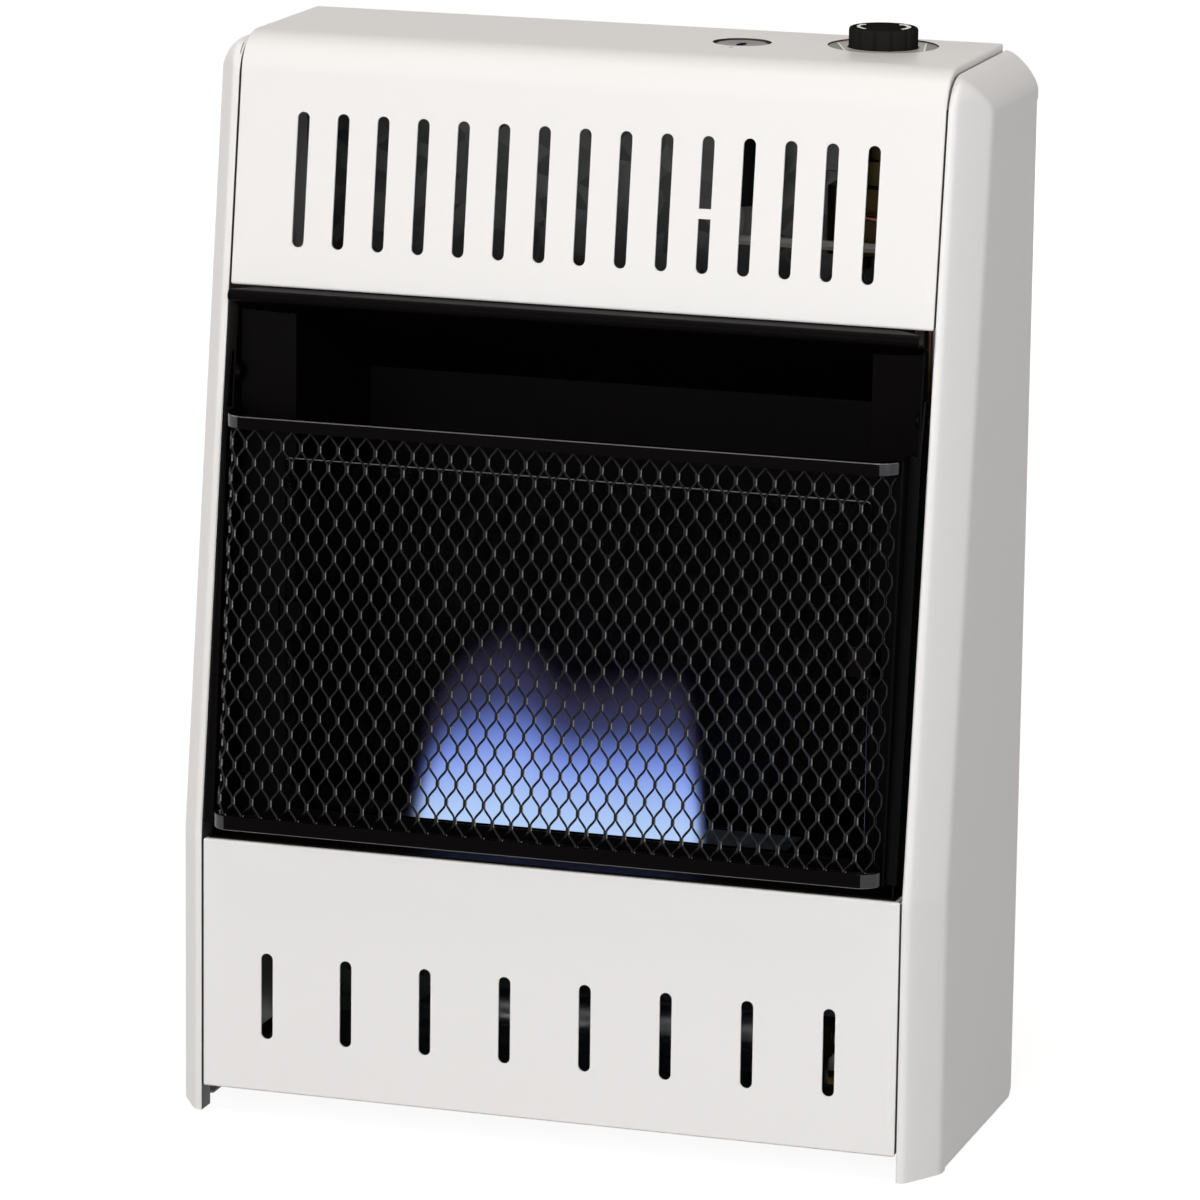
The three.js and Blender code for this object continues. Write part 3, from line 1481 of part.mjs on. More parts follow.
const finishes = {
  whitePaint: { color: 0xf0efed, roughness: 0.3, metalness: 0 },
  blackPaint: { color: 0x1c1b1d, roughness: 0.5, metalness: 0.1 },
  galvanised: { color: 0xa9adb0, roughness: 0.45, metalness: 0.8 },
  brass: { color: 0xb39250, roughness: 0.35, metalness: 1 },
  aluminium: { color: 0xc4c6c8, roughness: 0.35, metalness: 1 },
  blackPlastic: { color: 0x1b1b1c, roughness: 0.45, metalness: 0 },
  dialGrey: { color: 0x8d8f86, roughness: 0.5, metalness: 0.2 },
  ceramic: { color: 0xeeebe4, roughness: 0.5, metalness: 0 },
  copper: { color: 0xb0693f, roughness: 0.35, metalness: 1 },
  silicone: { color: 0xf2f0ea, roughness: 0.6, metalness: 0 },
  glass: { color: 0xdfe8e8, roughness: 0.05, metalness: 0, transparent: true, opacity: 0.25 },
};

const heater = new THREE.Group();
// The origin is on the ground, in the middle of the width and of the depth to the guard's foot
heater.position.y = guardBottomDepth / 2;

function addPiece(name, body, finish) {
  const mesh = new THREE.Mesh(toGeometry(body), new THREE.MeshStandardMaterial(finishes[finish]));
  mesh.name = name;
  heater.add(mesh);
}

function addPair(name, rightBody, finish) {
  addPiece(`right_${name}`, rightBody, finish);
  addPiece(`left_${name}`, mirrored(rightBody), finish);
}

addPiece('upper_casing', upperCasing(), 'whitePaint');
addPiece('lower_front_panel', lowerFrontPanel(), 'whitePaint');
addPair('side_panel', rightSidePanel(), 'whitePaint');
addPiece('back_panel', backPanel(), 'galvanised');
addPiece('base_tray', baseTray(), 'galvanised');

addPair('firebox_side', fireboxRightSide(), 'blackPaint');
addPiece('firebox_back', fireboxBack(), 'blackPaint');
addPiece('firebox_hood', fireboxHood(), 'blackPaint');
addPiece('firebox_floor', fireboxFloor(), 'blackPaint');
addPiece('window_glass', windowGlass(), 'glass');
addPiece('glass_channel', glassChannel(), 'blackPaint');
addPair('glass_clip', glassClip(), 'galvanised');

addPiece('guard_mesh', guardMesh(), 'blackPaint');
addPiece('guard_top_rail', guardTopRail(), 'blackPaint');
addPiece('guard_bottom_rail', guardBottomRail(), 'blackPaint');
addPair('guard_plate', guardRightPlate(), 'blackPaint');
addPair('guard_screw', guardRightScrew(), 'galvanised');

addPiece('burner_tube', burnerTube(), 'aluminium');
addPiece('mixing_tube', mixingTube(), 'aluminium');
addPiece('burner_left_bracket', burnerBracket(burnerLeft + burnerBracketInset), 'galvanised');
addPiece('burner_right_bracket', burnerBracket(burnerRight - burnerBracketInset), 'galvanised');
addPiece('injector', injector(), 'brass');
addPiece('injector_holder', injectorHolder(), 'brass');
addPiece('pilot_bracket', pilotBracket(), 'galvanised');
addPiece('pilot_burner', pilotBurner(), 'brass');
addPiece('pilot_electrode', pilotElectrode(), 'ceramic');
addPiece('thermocouple', thermocouple(), 'copper');

addPiece('gas_valve', valveBody(), 'brass');
addPiece('valve_bracket', valveBracket(), 'galvanised');
addPiece('valve_plug', valvePlug(), 'brass');
addPiece('valve_stem', valveStem(), 'galvanised');
addPiece('control_knob', controlKnob(), 'blackPlastic');
addPiece('dial_plate', dialPlate(), 'dialGrey');
addPiece('supply_nut', hexNut(
  dialPlace + valvePortSpread, -dialDepth, nutRadius, valveFoot - seat - nutHeight, valveFoot - seat,
), 'brass');
addPiece('burner_nut', hexNut(
  dialPlace - valvePortSpread, -dialDepth, nutRadius, valveFoot - seat - nutHeight, valveFoot - seat,
), 'brass');

addPiece('igniter_body', igniterBody(), 'blackPlastic');
addPiece('igniter_button', igniterButton(), 'dialGrey');
addPiece('regulator', regulator(), 'aluminium');
addPiece('inlet_fitting', inletFitting(), 'brass');
addPiece('supply_pipe', supplyPipe(), 'aluminium');
addPiece('burner_pipe', burnerPipe(), 'aluminium');
addPiece('pilot_pipe', pilotPipe(), 'aluminium');
addPiece('sensor_lead', sensorLead(), 'copper');
addPiece('igniter_lead', igniterLead(), 'silicone');

export default heater;
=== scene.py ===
"""Vent-free blue flame heater: pressed white casing, black firebox and guard, burner, gas control, igniter.

Lengths are in millimetres, x across, depth forward from the wall plane and z up from the floor. The
settings, the looks and whatever is given to Blender are in metres.
"""

import math

import bmesh
import bpy
from bpy.props import FloatProperty, FloatVectorProperty, IntProperty, PointerProperty
from mathutils import Matrix, Vector


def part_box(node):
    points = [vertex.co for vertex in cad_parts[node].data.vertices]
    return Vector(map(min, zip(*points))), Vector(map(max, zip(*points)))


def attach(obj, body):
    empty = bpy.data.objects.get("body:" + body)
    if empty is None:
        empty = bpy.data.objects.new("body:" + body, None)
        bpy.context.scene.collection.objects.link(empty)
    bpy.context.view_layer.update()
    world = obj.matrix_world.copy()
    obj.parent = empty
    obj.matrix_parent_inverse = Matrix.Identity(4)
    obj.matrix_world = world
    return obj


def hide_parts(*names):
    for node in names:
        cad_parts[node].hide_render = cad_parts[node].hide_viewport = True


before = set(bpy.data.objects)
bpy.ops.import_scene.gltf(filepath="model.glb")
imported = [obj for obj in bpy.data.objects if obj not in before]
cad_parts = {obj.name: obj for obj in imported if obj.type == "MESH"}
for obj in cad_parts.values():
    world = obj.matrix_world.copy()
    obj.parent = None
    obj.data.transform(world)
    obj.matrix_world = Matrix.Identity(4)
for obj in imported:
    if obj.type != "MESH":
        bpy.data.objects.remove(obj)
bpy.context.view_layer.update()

bl_info = {
    "name": "Blue Flame Heater",
    "version": (1, 0, 0),
    "blender": (4, 5, 0),
    "location": "View3D > Sidebar > Heater",
    "description": "Builds the dressed pieces of a wall mounted blue flame heater around its frame",
    "category": "Object",
}

MM = 0.001
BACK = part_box("back_panel")[1].y

# Casing, as the sheets are cut and folded, and the height from which the seams beside the front catch light
HEIGHT = 517.5
TOP_DEPTH = 102.8
BOTTOM_DEPTH = 156.5
HALF_FACE = 172.8
WINDOW_TOP = 399.1
WINDOW_BOTTOM = 135.9
PANEL_FOOT = 12.5
FLANGE = 12.0
TOP_RADIUS = 20.0
BEND_STEPS = 16
FOLD_STEPS = 4
LEAN = (BOTTOM_DEPTH - TOP_DEPTH) / (HEIGHT - WINDOW_BOTTOM)
SEAM_LIT = 490.0

# Rows of slots: pitch, length and height of their middle. A web stands across one upper slot: its x and
# height, and its size in metres
UPPER_ROW = (20.0, 63.7, 450.15)
LOWER_ROW = (40.0, 42.7, 60.25)
WEB_PLACE = (60.0, 446.0)
WEB_SIZE = (0.012, 0.2, 0.0046)

# Side panels: sections from the seam out, as x, inset of the front and drop of the top, then how the seam's
# flange turns out of the seam, and the radii, flanges and cut corners of the flat side
SEAM_X = 173.6
SIDE_X = 190.3
SIDE_SECTIONS = [
    (173.6, 0.0, 3.0), (176.5, 0.3, 3.6), (178.5, 2.2, 4.6), (184.0, 11.0, 9.2),
    (188.2, 18.0, 15.0), (189.7, 20.8, 18.3), (190.3, 23.5, 20.5),
]
SEAM_ROUNDING = [(0.0, FLANGE), (0.0, 1.1), (0.1, 0.6), (0.4, 0.2), (0.9, 0.0)]
SIDE_FOLD = 2.0
SIDE_CORNER = 2.5
KINK_RADIUS = 12.0
REAR_FLANGE = 14.8
EAR = 5.0

# Hood: its rear edge, how far its nose reaches before the sheet above, the nose's radius and its gap below
# that sheet, how far the nose turns back, the half width at depths, and the depths of its creases
HOOD_REAR = (32.3, 347.0)
HOOD_REACH = 13.1
NOSE_RADIUS = 3.0
NOSE_STEPS = 12
NOSE_GAP = 0.3
HOOD_RETURN = 24.0
HOOD_GAUGE = 1.0
HOOD_RIM = 0.2
HOOD_PLAN = [(32.0, 135.0), (111.0, 144.0), (113.9, 169.4)]
HOOD_STATIONS = (70.0, 111.0, 113.0, 114.0)

# Guard, in plan and in side view: the top rail's upper edge and height, the bottom rail's lower edge and
# height, the heights and depths between which the face leans, a screw's place, and the rails' own sizes
GUARD_HALF = 165.0
GUARD_RADIUS = 10.5
GUARD_TOP = (342.0, 6.2)
GUARD_BOTTOM = (144.5, 7.2)
GUARD_TOP_MIDDLE = 338.9
GUARD_BOTTOM_MIDDLE = 148.1
GUARD_TOP_DEPTH = 151.99
GUARD_BOTTOM_DEPTH = 170.3
GUARD_SCREW = (168.2, 120.2, 357.0)
SCREW_RIM = 0.15
RAIL_WALL = 1.0
RAIL_DEPTH = 4.0
RAIL_RIM = 0.45
RAIL_ARC_STEPS = 12
MESH_IN_RAIL = 3.0

# Controls on the top
DIAL = (121.7, 29.0)
DIAL_HOLE = 26.3
DIAL_SIDES = 96
IGNITER = (56.6, 43.5)
IGNITER_HOLE = 14.0
PRINT_DEPTH = 0.02

# Knob: its foot, top and radius, and its lobes, with the depth of a groove between two lobes and the shares
# of that depth at places across a lobe
KNOB_FOOT = 500.5
KNOB_TOP = 526.4
KNOB_RADIUS = 16.4
KNOB_LOBES = 12
GROOVE = 1.25
GROOVE_PLACES = [-0.5, -0.465, -0.43, -0.39, -0.34, -0.2, 0.0, 0.2, 0.34, 0.39, 0.43, 0.465]
GROOVE_SHARES = [1.0, 0.92, 0.62, 0.25, 0.06, 0.0, 0.0, 0.0, 0.06, 0.25, 0.62, 0.92]

# Flame: across from the burner's left end and the height of the tips there, then the foot of its sheets,
# the haze above the tips, a sheet's grid, each sheet's depth, height share and strength, its fading in from
# the left end (more with height) and out to the right end, and the sway of a sheet with its rate across
FLAME_TIPS = [
    (-94.0, 145.0), (-91.0, 165.0), (-85.0, 188.0), (-74.0, 204.0), (-60.0, 216.0), (-45.0, 224.0),
    (-32.0, 217.0), (-20.0, 206.0), (-12.0, 203.0), (2.0, 205.0), (20.0, 209.0), (38.0, 210.0),
    (45.0, 206.0), (51.0, 180.0), (54.0, 150.0), (55.5, 132.0),
]
FLAME_FOOT = 127.0
FLAME_HAZE = 26.0
FLAME_GRID = (90, 50)
FLAME_SHEETS = ((80.0, 1.0, 1.0), (88.0, 0.86, 0.35), (72.0, 0.86, 0.35))
LEFT_FADE = (6.0, 22.0)
RIGHT_FADE = 7.0
FLAME_WAVE = (3.0, 0.09)

# Camera: where it looks, how many metres off it stands, and its turn, tilt and roll in degrees
CAMERA_TARGET = (13.65, 120.0, 259.91)
CAMERA_DISTANCE = 3.20438
CAMERA_TURNS = (17.40, 12.60, 0.73)

# Light, in metres: the heater's middle, the lamps' distance and widths, and half the floor's width
MIDDLE = (0.0, 0.0, 0.27)
LAMP_DISTANCE = 3.3
SOFTBOX = 1.8
REAR_SOFTBOX = 0.7
FLOOR_HALF = 15.0


def front_depth(z):
    """Depth of the front sheet at a height."""
    return BOTTOM_DEPTH - LEAN * max(z - WINDOW_BOTTOM, 0.0)


def guard_depth(z):
    """Depth of the guard's outer face at a height."""
    lean = (GUARD_BOTTOM_DEPTH - GUARD_TOP_DEPTH) / (GUARD_TOP_MIDDLE - GUARD_BOTTOM_MIDDLE)
    return GUARD_BOTTOM_DEPTH - lean * (z - GUARD_BOTTOM_MIDDLE)


def at(x, depth, z):
    """Place in the frame, in metres, of a place in millimetres."""
    return Vector((x * MM, BACK - depth * MM, z * MM))


def level_at(line, place):
    """Value at a place along pairs of place and value, held past both ends."""
    for (start, low), (end, high) in zip(line, line[1:]):
        if place <= end:
            return low + (high - low) * (max(place, start) - start) / (end - start)
    return line[-1][1]


def ease(value, low, high):
    """Share from 0 to 1 of the way from low to high, gentle at both ends."""
    share = min(max((value - low) / (high - low), 0.0), 1.0)
    return share * share * (3 - 2 * share)


# Settings a user would change


class CasingSizes(bpy.types.PropertyGroup):
    """Sizes of the painted sheets."""

    gauge: FloatProperty(
        name="Gauge", description="Thickness of the casing sheet", default=0.001, unit="LENGTH")
    fold: FloatProperty(
        name="Fold Radius", description="Outer radius of a folded edge", default=0.0012, unit="LENGTH")
    slot_width: FloatProperty(
        name="Slot Width", description="Width of an air slot", default=0.006, unit="LENGTH")
    upper_slots: IntProperty(
        name="Upper Slots", description="Air slots above the window", default=15, min=1)
    lower_slots: IntProperty(
        name="Lower Slots", description="Air slots below the window", default=8, min=1)
    rim: FloatProperty(
        name="Rim", description="Rounding of a cut edge", default=0.00022, unit="LENGTH")


class GuardSizes(bpy.types.PropertyGroup):
    """Sizes of the expanded metal in the guard."""

    short_way: FloatProperty(
        name="Short Way", description="Diamond pitch across", default=0.0093, unit="LENGTH")
    long_way: FloatProperty(
        name="Long Way", description="Diamond pitch up", default=0.017, unit="LENGTH")
    strand: FloatProperty(
        name="Strand", description="Width of a strand", default=0.0009, unit="LENGTH")
    sheet: FloatProperty(
        name="Sheet", description="Thickness of the expanded sheet", default=0.0007, unit="LENGTH")
    knuckle: FloatProperty(
        name="Knuckle", description="Length of a joint between strands", default=0.0032, unit="LENGTH")
    tilt: FloatProperty(
        name="Tilt", description="How far the stretched strands turn out of plane", default=-0.5,
        subtype="ANGLE")


class Finishes(bpy.types.PropertyGroup):
    """Colours of the main finishes."""

    white: FloatVectorProperty(
        name="White Paint", description="Powder coat of the casing", default=(0.87, 0.862, 0.855),
        min=0.0, max=1.0, subtype="COLOR")
    black: FloatVectorProperty(
        name="Black Paint", description="Heat resistant paint of the firebox",
        default=(0.0016, 0.0011, 0.0013), min=0.0, max=1.0, subtype="COLOR")
    dial: FloatVectorProperty(
        name="Dial", description="Moulded dial ring", default=(0.36, 0.335, 0.29),
        min=0.0, max=1.0, subtype="COLOR")
    flame_low: FloatVectorProperty(
        name="Flame Low", description="Colour just above the burner", default=(0.5, 0.67, 1.0),
        min=0.0, max=1.0, subtype="COLOR")
    flame_high: FloatVectorProperty(
        name="Flame High", description="Colour near the tips", default=(0.2, 0.29, 0.88),
        min=0.0, max=1.0, subtype="COLOR")
    flame_tip: FloatVectorProperty(
        name="Flame Tip", description="Colour where the flame ends", default=(0.26, 0.22, 0.52),
        min=0.0, max=1.0, subtype="COLOR")


class StageLook(bpy.types.PropertyGroup):
    """Camera and light."""

    lens: FloatProperty(name="Lens", description="Focal length", default=203.6, unit="CAMERA")
    key: FloatProperty(
        name="Key Light", description="Power of the softbox in front", default=67.0, unit="POWER")
    right: FloatProperty(
        name="Right Light", description="Power of the softbox on the right", default=28.0, unit="POWER")
    left: FloatProperty(
        name="Left Light", description="Power of the softbox on the left", default=33.0, unit="POWER")
    top: FloatProperty(
        name="Top Light", description="Power of the softbox above", default=35.0, unit="POWER")
    rear: FloatProperty(
        name="Rear Light", description="Power of the softbox behind", default=34.0, unit="POWER")
    sky: FloatProperty(
        name="Sky", description="Strength of the even light all round", default=0.05, min=0.0)


# Node helpers

FLOAT = "NodeSocketFloat"
COLOUR = "NodeSocketColor"
VECTOR = "NodeSocketVector"
WHOLE = "NodeSocketInt"
GEOMETRY = "NodeSocketGeometry"
MATERIAL = "NodeSocketMaterial"


def fill(tree, node, values):
    """Gives a node its inputs, each as a value or as a socket to link from."""
    for key, value in values.items():
        if isinstance(value, bpy.types.NodeSocket):
            tree.links.new(value, node.inputs[key])
        else:
            node.inputs[key].default_value = value


def add_node(tree, kind, values=None, **settings):
    """A new node with its settings and its inputs."""
    node = tree.nodes.new(kind)
    for name, value in settings.items():
        setattr(node, name, value)
    fill(tree, node, values or {})
    return node


def output(tree, kind, values=None, socket=0, **settings):
    """One output of a new node."""
    return add_node(tree, kind, values, **settings).outputs[socket]


def math_node(tree, operation, first, second=0.0, clamp=False):
    """Output of a new Math node."""
    return output(tree, "ShaderNodeMath", {0: first, 1: second}, operation=operation, use_clamp=clamp)


def mixed(tree, share, low, high):
    """A colour between two others."""
    return output(tree, "ShaderNodeMix", {0: share, 6: low, 7: high}, 2, data_type="RGBA")


def spread(tree, value, low=0.0, high=1.0, start=0.0, end=1.0):
    """A value whose range from low to high is laid over start to end."""
    values = {"Value": value, "From Min": low, "From Max": high, "To Min": start, "To Max": end}
    return output(tree, "ShaderNodeMapRange", values)


def noise(tree, place, cell, detail, rough):
    """Noise at a cell size in metres."""
    scale = math_node(tree, "DIVIDE", 1.0, cell)
    values = {"Vector": place, "Scale": scale, "Detail": detail, "Roughness": rough}
    return output(tree, "ShaderNodeTexNoise", values)


def object_place(tree):
    """Object coordinates."""
    return output(tree, "ShaderNodeTexCoord", socket="Object")


def new_group(name, kind, inputs, outputs):
    """A node group with named sockets: its tree, the sockets that come in, and the node that puts out."""
    tree = bpy.data.node_groups.new(name, kind)
    for socket, (form, value) in inputs.items():
        made = tree.interface.new_socket(socket, in_out="INPUT", socket_type=form)
        if value is not None:
            made.default_value = value
    for socket, form in outputs.items():
        tree.interface.new_socket(socket, in_out="OUTPUT", socket_type=form)
    entry = tree.nodes.new("NodeGroupInput")
    return tree, entry.outputs, tree.nodes.new("NodeGroupOutput")


# Shader groups that the materials share


def grain_group():
    """Fine surface grain: a bump normal and a 0 to 1 value."""
    tree, given, leave = new_group(
        "Surface Grain", "ShaderNodeTree",
        {"Cell": (FLOAT, 0.001), "Height": (FLOAT, 0.00002), "Stretch": (VECTOR, (1.0, 1.0, 1.0))},
        {"Value": FLOAT, "Normal": VECTOR},
    )
    stretched = {0: object_place(tree), 1: given["Stretch"]}
    moved = output(tree, "ShaderNodeVectorMath", stretched, operation="MULTIPLY")
    value = noise(tree, moved, given["Cell"], 2.0, 0.5)
    bump = {"Height": value, "Distance": given["Height"], "Strength": 1.0}
    fill(tree, leave, {"Value": value, "Normal": output(tree, "ShaderNodeBump", bump)})


def drift_group():
    """Broad slow variation between two values, for tone or gloss that drifts over a surface."""
    tree, given, leave = new_group(
        "Slow Drift", "ShaderNodeTree",
        {"Cell": (FLOAT, 0.08), "Low": (FLOAT, 0.0), "High": (FLOAT, 1.0)},
        {"Value": FLOAT},
    )
    value = noise(tree, object_place(tree), given["Cell"], 2.0, 0.5)
    fill(tree, leave, {"Value": spread(tree, value, 0.2, 0.8, given["Low"], given["High"])})


def dust_group():
    """Dust that settles on faces turned up, in a broken film."""
    tree, given, leave = new_group(
        "Settled Dust", "ShaderNodeTree",
        {"Amount": (FLOAT, 0.1), "Cell": (FLOAT, 0.004)},
        {"Mask": FLOAT},
    )
    normal = output(tree, "ShaderNodeNewGeometry", socket="Normal")
    up = output(tree, "ShaderNodeSeparateXYZ", {0: normal}, "Z")
    facing = math_node(tree, "MULTIPLY", up, 1.0, clamp=True)
    speck = spread(tree, noise(tree, object_place(tree), given["Cell"], 6.0, 0.7), 0.4, 0.75)
    film = math_node(tree, "MULTIPLY", facing, speck)
    fill(tree, leave, {"Mask": math_node(tree, "MULTIPLY", film, given["Amount"], clamp=True)})


def spangle_group():
    """Crystal flowers of galvanised sheet: each cell has its own grey and its own gloss."""
    # Both greys lie far below bare zinc: painted shade for the dark inside of the cabinet.
    dark, light = (0.08, 0.08, 0.078, 1.0), (0.17, 0.17, 0.165, 1.0)
    tree, given, leave = new_group(
        "Zinc Spangle", "ShaderNodeTree",
        {"Cell": (FLOAT, 0.008), "Dark": (COLOUR, dark), "Light": (COLOUR, light)},
        {"Color": COLOUR, "Roughness": FLOAT},
    )
    cell = {"Vector": object_place(tree), "Scale": math_node(tree, "DIVIDE", 1.0, given["Cell"])}
    colour = output(tree, "ShaderNodeTexVoronoi", cell, "Color", feature="F1")
    parts = add_node(tree, "ShaderNodeSeparateColor", {0: colour}).outputs
    fill(tree, leave, {
        "Color": mixed(tree, parts[0], given["Dark"], given["Light"]),
        "Roughness": spread(tree, parts[1], start=0.32, end=0.52),
    })


def shared(tree, group, socket, **values):
    """One output of a shared group placed with its own values."""
    return output(tree, "ShaderNodeGroup", values, socket, node_tree=bpy.data.node_groups[group])


# Materials

DUST = (0.42, 0.4, 0.37, 1.0)
WHITE = (1.0, 1.0, 1.0, 1.0)
NOTHING = (0.0, 0.0, 0.0, 1.0)
TONE_CELL = 0.09
GLOSS_CELL = 0.03
COAT_GLOSS = 0.12

# Finishes by a short name, once they are made
looks = {}


def new_material(name):
    """A material, its tree and its shader."""
    material = bpy.data.materials.new(name)
    material.use_nodes = True
    return material, material.node_tree, material.node_tree.nodes["Principled BSDF"]


def toned(tree, colour, cell, low):
    """A colour that drifts between a share of its brightness and the whole."""
    tones = shared(tree, "Slow Drift", "Value", Cell=cell, Low=low, High=1.0)
    return output(tree, "ShaderNodeHueSaturation", {"Color": (*colour, 1.0), "Value": tones})


def painted(name, colour, grain, gloss, dust, coat=0.0, level=0.5, drift=0.95):
    """Paint or moulding: a drifting tone, grain in the surface, and a film of dust."""
    material, tree, shader = new_material(name)
    film = shared(tree, "Settled Dust", "Mask", Amount=dust)
    fill(tree, shader, {
        "Base Color": mixed(tree, film, toned(tree, colour, TONE_CELL, drift), DUST),
        "Roughness": shared(tree, "Slow Drift", "Value", Cell=GLOSS_CELL, Low=gloss[0], High=gloss[1]),
        "Normal": shared(tree, "Surface Grain", "Normal", Cell=grain[0], Height=grain[1]),
        "Coat Weight": coat, "Coat Roughness": COAT_GLOSS, "Specular IOR Level": level,
    })
    return material


def paint_highlight(material, attribute, colour):
    """Paints a highlight: a lighter colour where an attribute of the piece says so."""
    tree = material.node_tree
    base = tree.nodes["Principled BSDF"].inputs["Base Color"]
    worn = output(tree, "ShaderNodeAttribute", socket="Fac", attribute_name=attribute)
    mask = spread(tree, worn, 0.45, 0.6)
    tree.links.new(mixed(tree, mask, base.links[0].from_socket, (*colour, 1.0)), base)


def galvanised():
    """Zinc coated sheet, its greys held far below bare zinc as painted shade inside the cabinet."""
    material, tree, shader = new_material("Galvanised Sheet")
    fill(tree, shader, {
        "Base Color": shared(tree, "Zinc Spangle", "Color"),
        "Roughness": shared(tree, "Zinc Spangle", "Roughness"),
        "Normal": shared(tree, "Surface Grain", "Normal", Cell=0.003, Height=0.00001),
        "Metallic": 0.85,
    })
    return material


def drawn_metal(name, colour, gloss):
    """Bare metal with drawn lines, dulled in places."""
    material, tree, shader = new_material(name)
    lines = {"Cell": 0.0004, "Height": 0.000006, "Stretch": (1.0, 1.0, 0.12)}
    fill(tree, shader, {
        "Base Color": toned(tree, colour, 0.02, 0.72),
        "Roughness": shared(tree, "Slow Drift", "Value", Cell=0.008, Low=gloss[0], High=gloss[1]),
        "Normal": shared(tree, "Surface Grain", "Normal", **lines),
        "Metallic": 1.0,
    })
    return material


def clear_glass():
    """The window's glass."""
    material, tree, shader = new_material("Window Glass")
    fill(tree, shader, {
        "Base Color": (0.95, 0.97, 0.96, 1.0), "Transmission Weight": 1.0, "Metallic": 0.0,
        "Specular Tint": (0.004, 0.004, 0.005, 1.0),
        "Roughness": shared(tree, "Slow Drift", "Value", Cell=0.05, Low=0.0, High=0.02),
    })
    return material


def burning_gas(finishes):
    """Flame: its glow comes from the sheets' own attributes, broken up by upright streaks."""
    material, tree, shader = new_material("Blue Flame")
    glow, rise, tip = (output(tree, "ShaderNodeAttribute", socket="Fac", attribute_name=name)
                       for name in ("glow", "rise", "tip"))
    body = mixed(tree, rise, (*finishes.flame_low, 1.0), (*finishes.flame_high, 1.0))
    streaks = shared(tree, "Surface Grain", "Value", Cell=0.012, Stretch=(1.0, 1.0, 0.25))
    broken = spread(tree, streaks, 0.35, 0.65, 0.92, 1.0)
    fill(tree, shader, {
        "Alpha": math_node(tree, "MULTIPLY", glow, broken, clamp=True),
        "Emission Color": mixed(tree, tip, body, (*finishes.flame_tip, 1.0)),
        "Emission Strength": 1.0, "Base Color": NOTHING, "Roughness": 1.0, "Specular IOR Level": 0.0,
    })
    return material


def make_looks(finishes):
    """Every material by its short name. A grain is its cell and height, a gloss its range of roughness."""
    for make_group in (grain_group, drift_group, dust_group, spangle_group):
        make_group()
    powder, rolled = (0.0022, 0.000002), (0.0009, 0.000006)
    moulded, ink = (0.0004, 0.00001), (0.0003, 0.000004)
    thin, baked = (0.5, 0.55), (0.2, 0.24)
    made = {
        "white": painted("White Powder Coat", finishes.white, powder, (0.38, 0.4), 0.01,
                         coat=0.06, level=0.25, drift=0.992),
        # Near black brown on the faces inside the cabinet, where shade falls: painted shade.
        "inner_shade": painted("Thin Undercoat", (0.05, 0.045, 0.04), powder, thin, 0.01),
        # Dark brown on the walls of the holes in the top: painted shade down the hole.
        "cut": painted("Bare Cut Edge", (0.055, 0.042, 0.032), powder, thin, 0.0, level=0.1),
        # Brown grey on the faces that look into the seams beside the front: painted shade in the gap.
        "seam": painted("Seam Coat", (0.22, 0.18, 0.15), powder, thin, 0.01),
        "black": painted("Black Stove Paint", finishes.black, (0.0005, 0.000006), (0.36, 0.46), 0.004,
                         level=0.025),
        "guard": painted("Black Guard Paint", finishes.black, rolled, baked, 0.002, level=0.03),
        # Lighter, glossier paint on the rails' front edges: a painted highlight.
        "guard_edge": painted("Rubbed Guard Edge", (0.12, 0.115, 0.115), rolled, baked, 0.002, level=0.3),
        # Lighter, glossier paint on the rails' rounded ends: a painted sheen.
        "guard_end": painted("Rolled Guard End", (0.028, 0.028, 0.032), rolled, baked, 0.002, level=0.3),
        "lattice": painted("Black Lattice Paint", (0.0014, 0.0013, 0.0014), (0.0006, 0.000003),
                           (0.22, 0.26), 0.003, level=0.2),
        "plastic": painted("Black Moulding", (0.017, 0.0158, 0.0155), (0.0003, 0.000003), (0.45, 0.55), 0.01,
                           level=0.0),
        "wing": painted("Dial Wing", (0.17, 0.172, 0.15), moulded, (0.38, 0.5), 0.05, level=0.2),
        "dial": painted("Dial Moulding", finishes.dial, moulded, (0.38, 0.5), 0.15),
        "button": painted("Button Moulding", (0.11, 0.098, 0.093), moulded, (0.34, 0.46), 0.1),
        "marks": painted("Printed Marks", (0.9, 0.9, 0.88), ink, (0.4, 0.5), 0.0),
        "spark": painted("Printed Spark", (0.004, 0.004, 0.004), ink, (0.35, 0.45), 0.0, level=0.0),
        "ceramic": painted("Ceramic", (0.82, 0.8, 0.75), (0.0006, 0.00001), (0.25, 0.4), 0.05),
        "silicone": painted("Silicone Sleeve", (0.42, 0.4, 0.37), (0.0008, 0.00001), (0.4, 0.55), 0.1),
        # Near black and almost without shine, far darker than bare steel.
        "burner": painted("Heated Burner Steel", (0.005, 0.0045, 0.0045), (0.0008, 0.000008), (0.5, 0.6),
                          0.003, level=0.03),
        # Grey on the pane's top edge: its ground edge, and a painted highlight where that edge faces up and
        # forward.
        "glass_edge": painted("Ground Glass Edge", (0.12, 0.125, 0.125), moulded, (0.3, 0.45), 0.0),
        # Far darker than bare brass: painted shade for the parts inside the cabinet.
        "brass": drawn_metal("Brass", (0.05, 0.036, 0.016), (0.4, 0.55)),
        "aluminium": drawn_metal("Aluminised Steel", (0.56, 0.56, 0.57), (0.34, 0.5)),
        "copper": drawn_metal("Copper", (0.62, 0.29, 0.17), (0.25, 0.4)),
        "zinc": galvanised(),
        "glass": clear_glass(),
        "flame": burning_gas(finishes),
    }
    # The lattice's knuckles get a painted highlight along one side.
    paint_highlight(made["lattice"], "worn", (0.2, 0.19, 0.19))
    return made


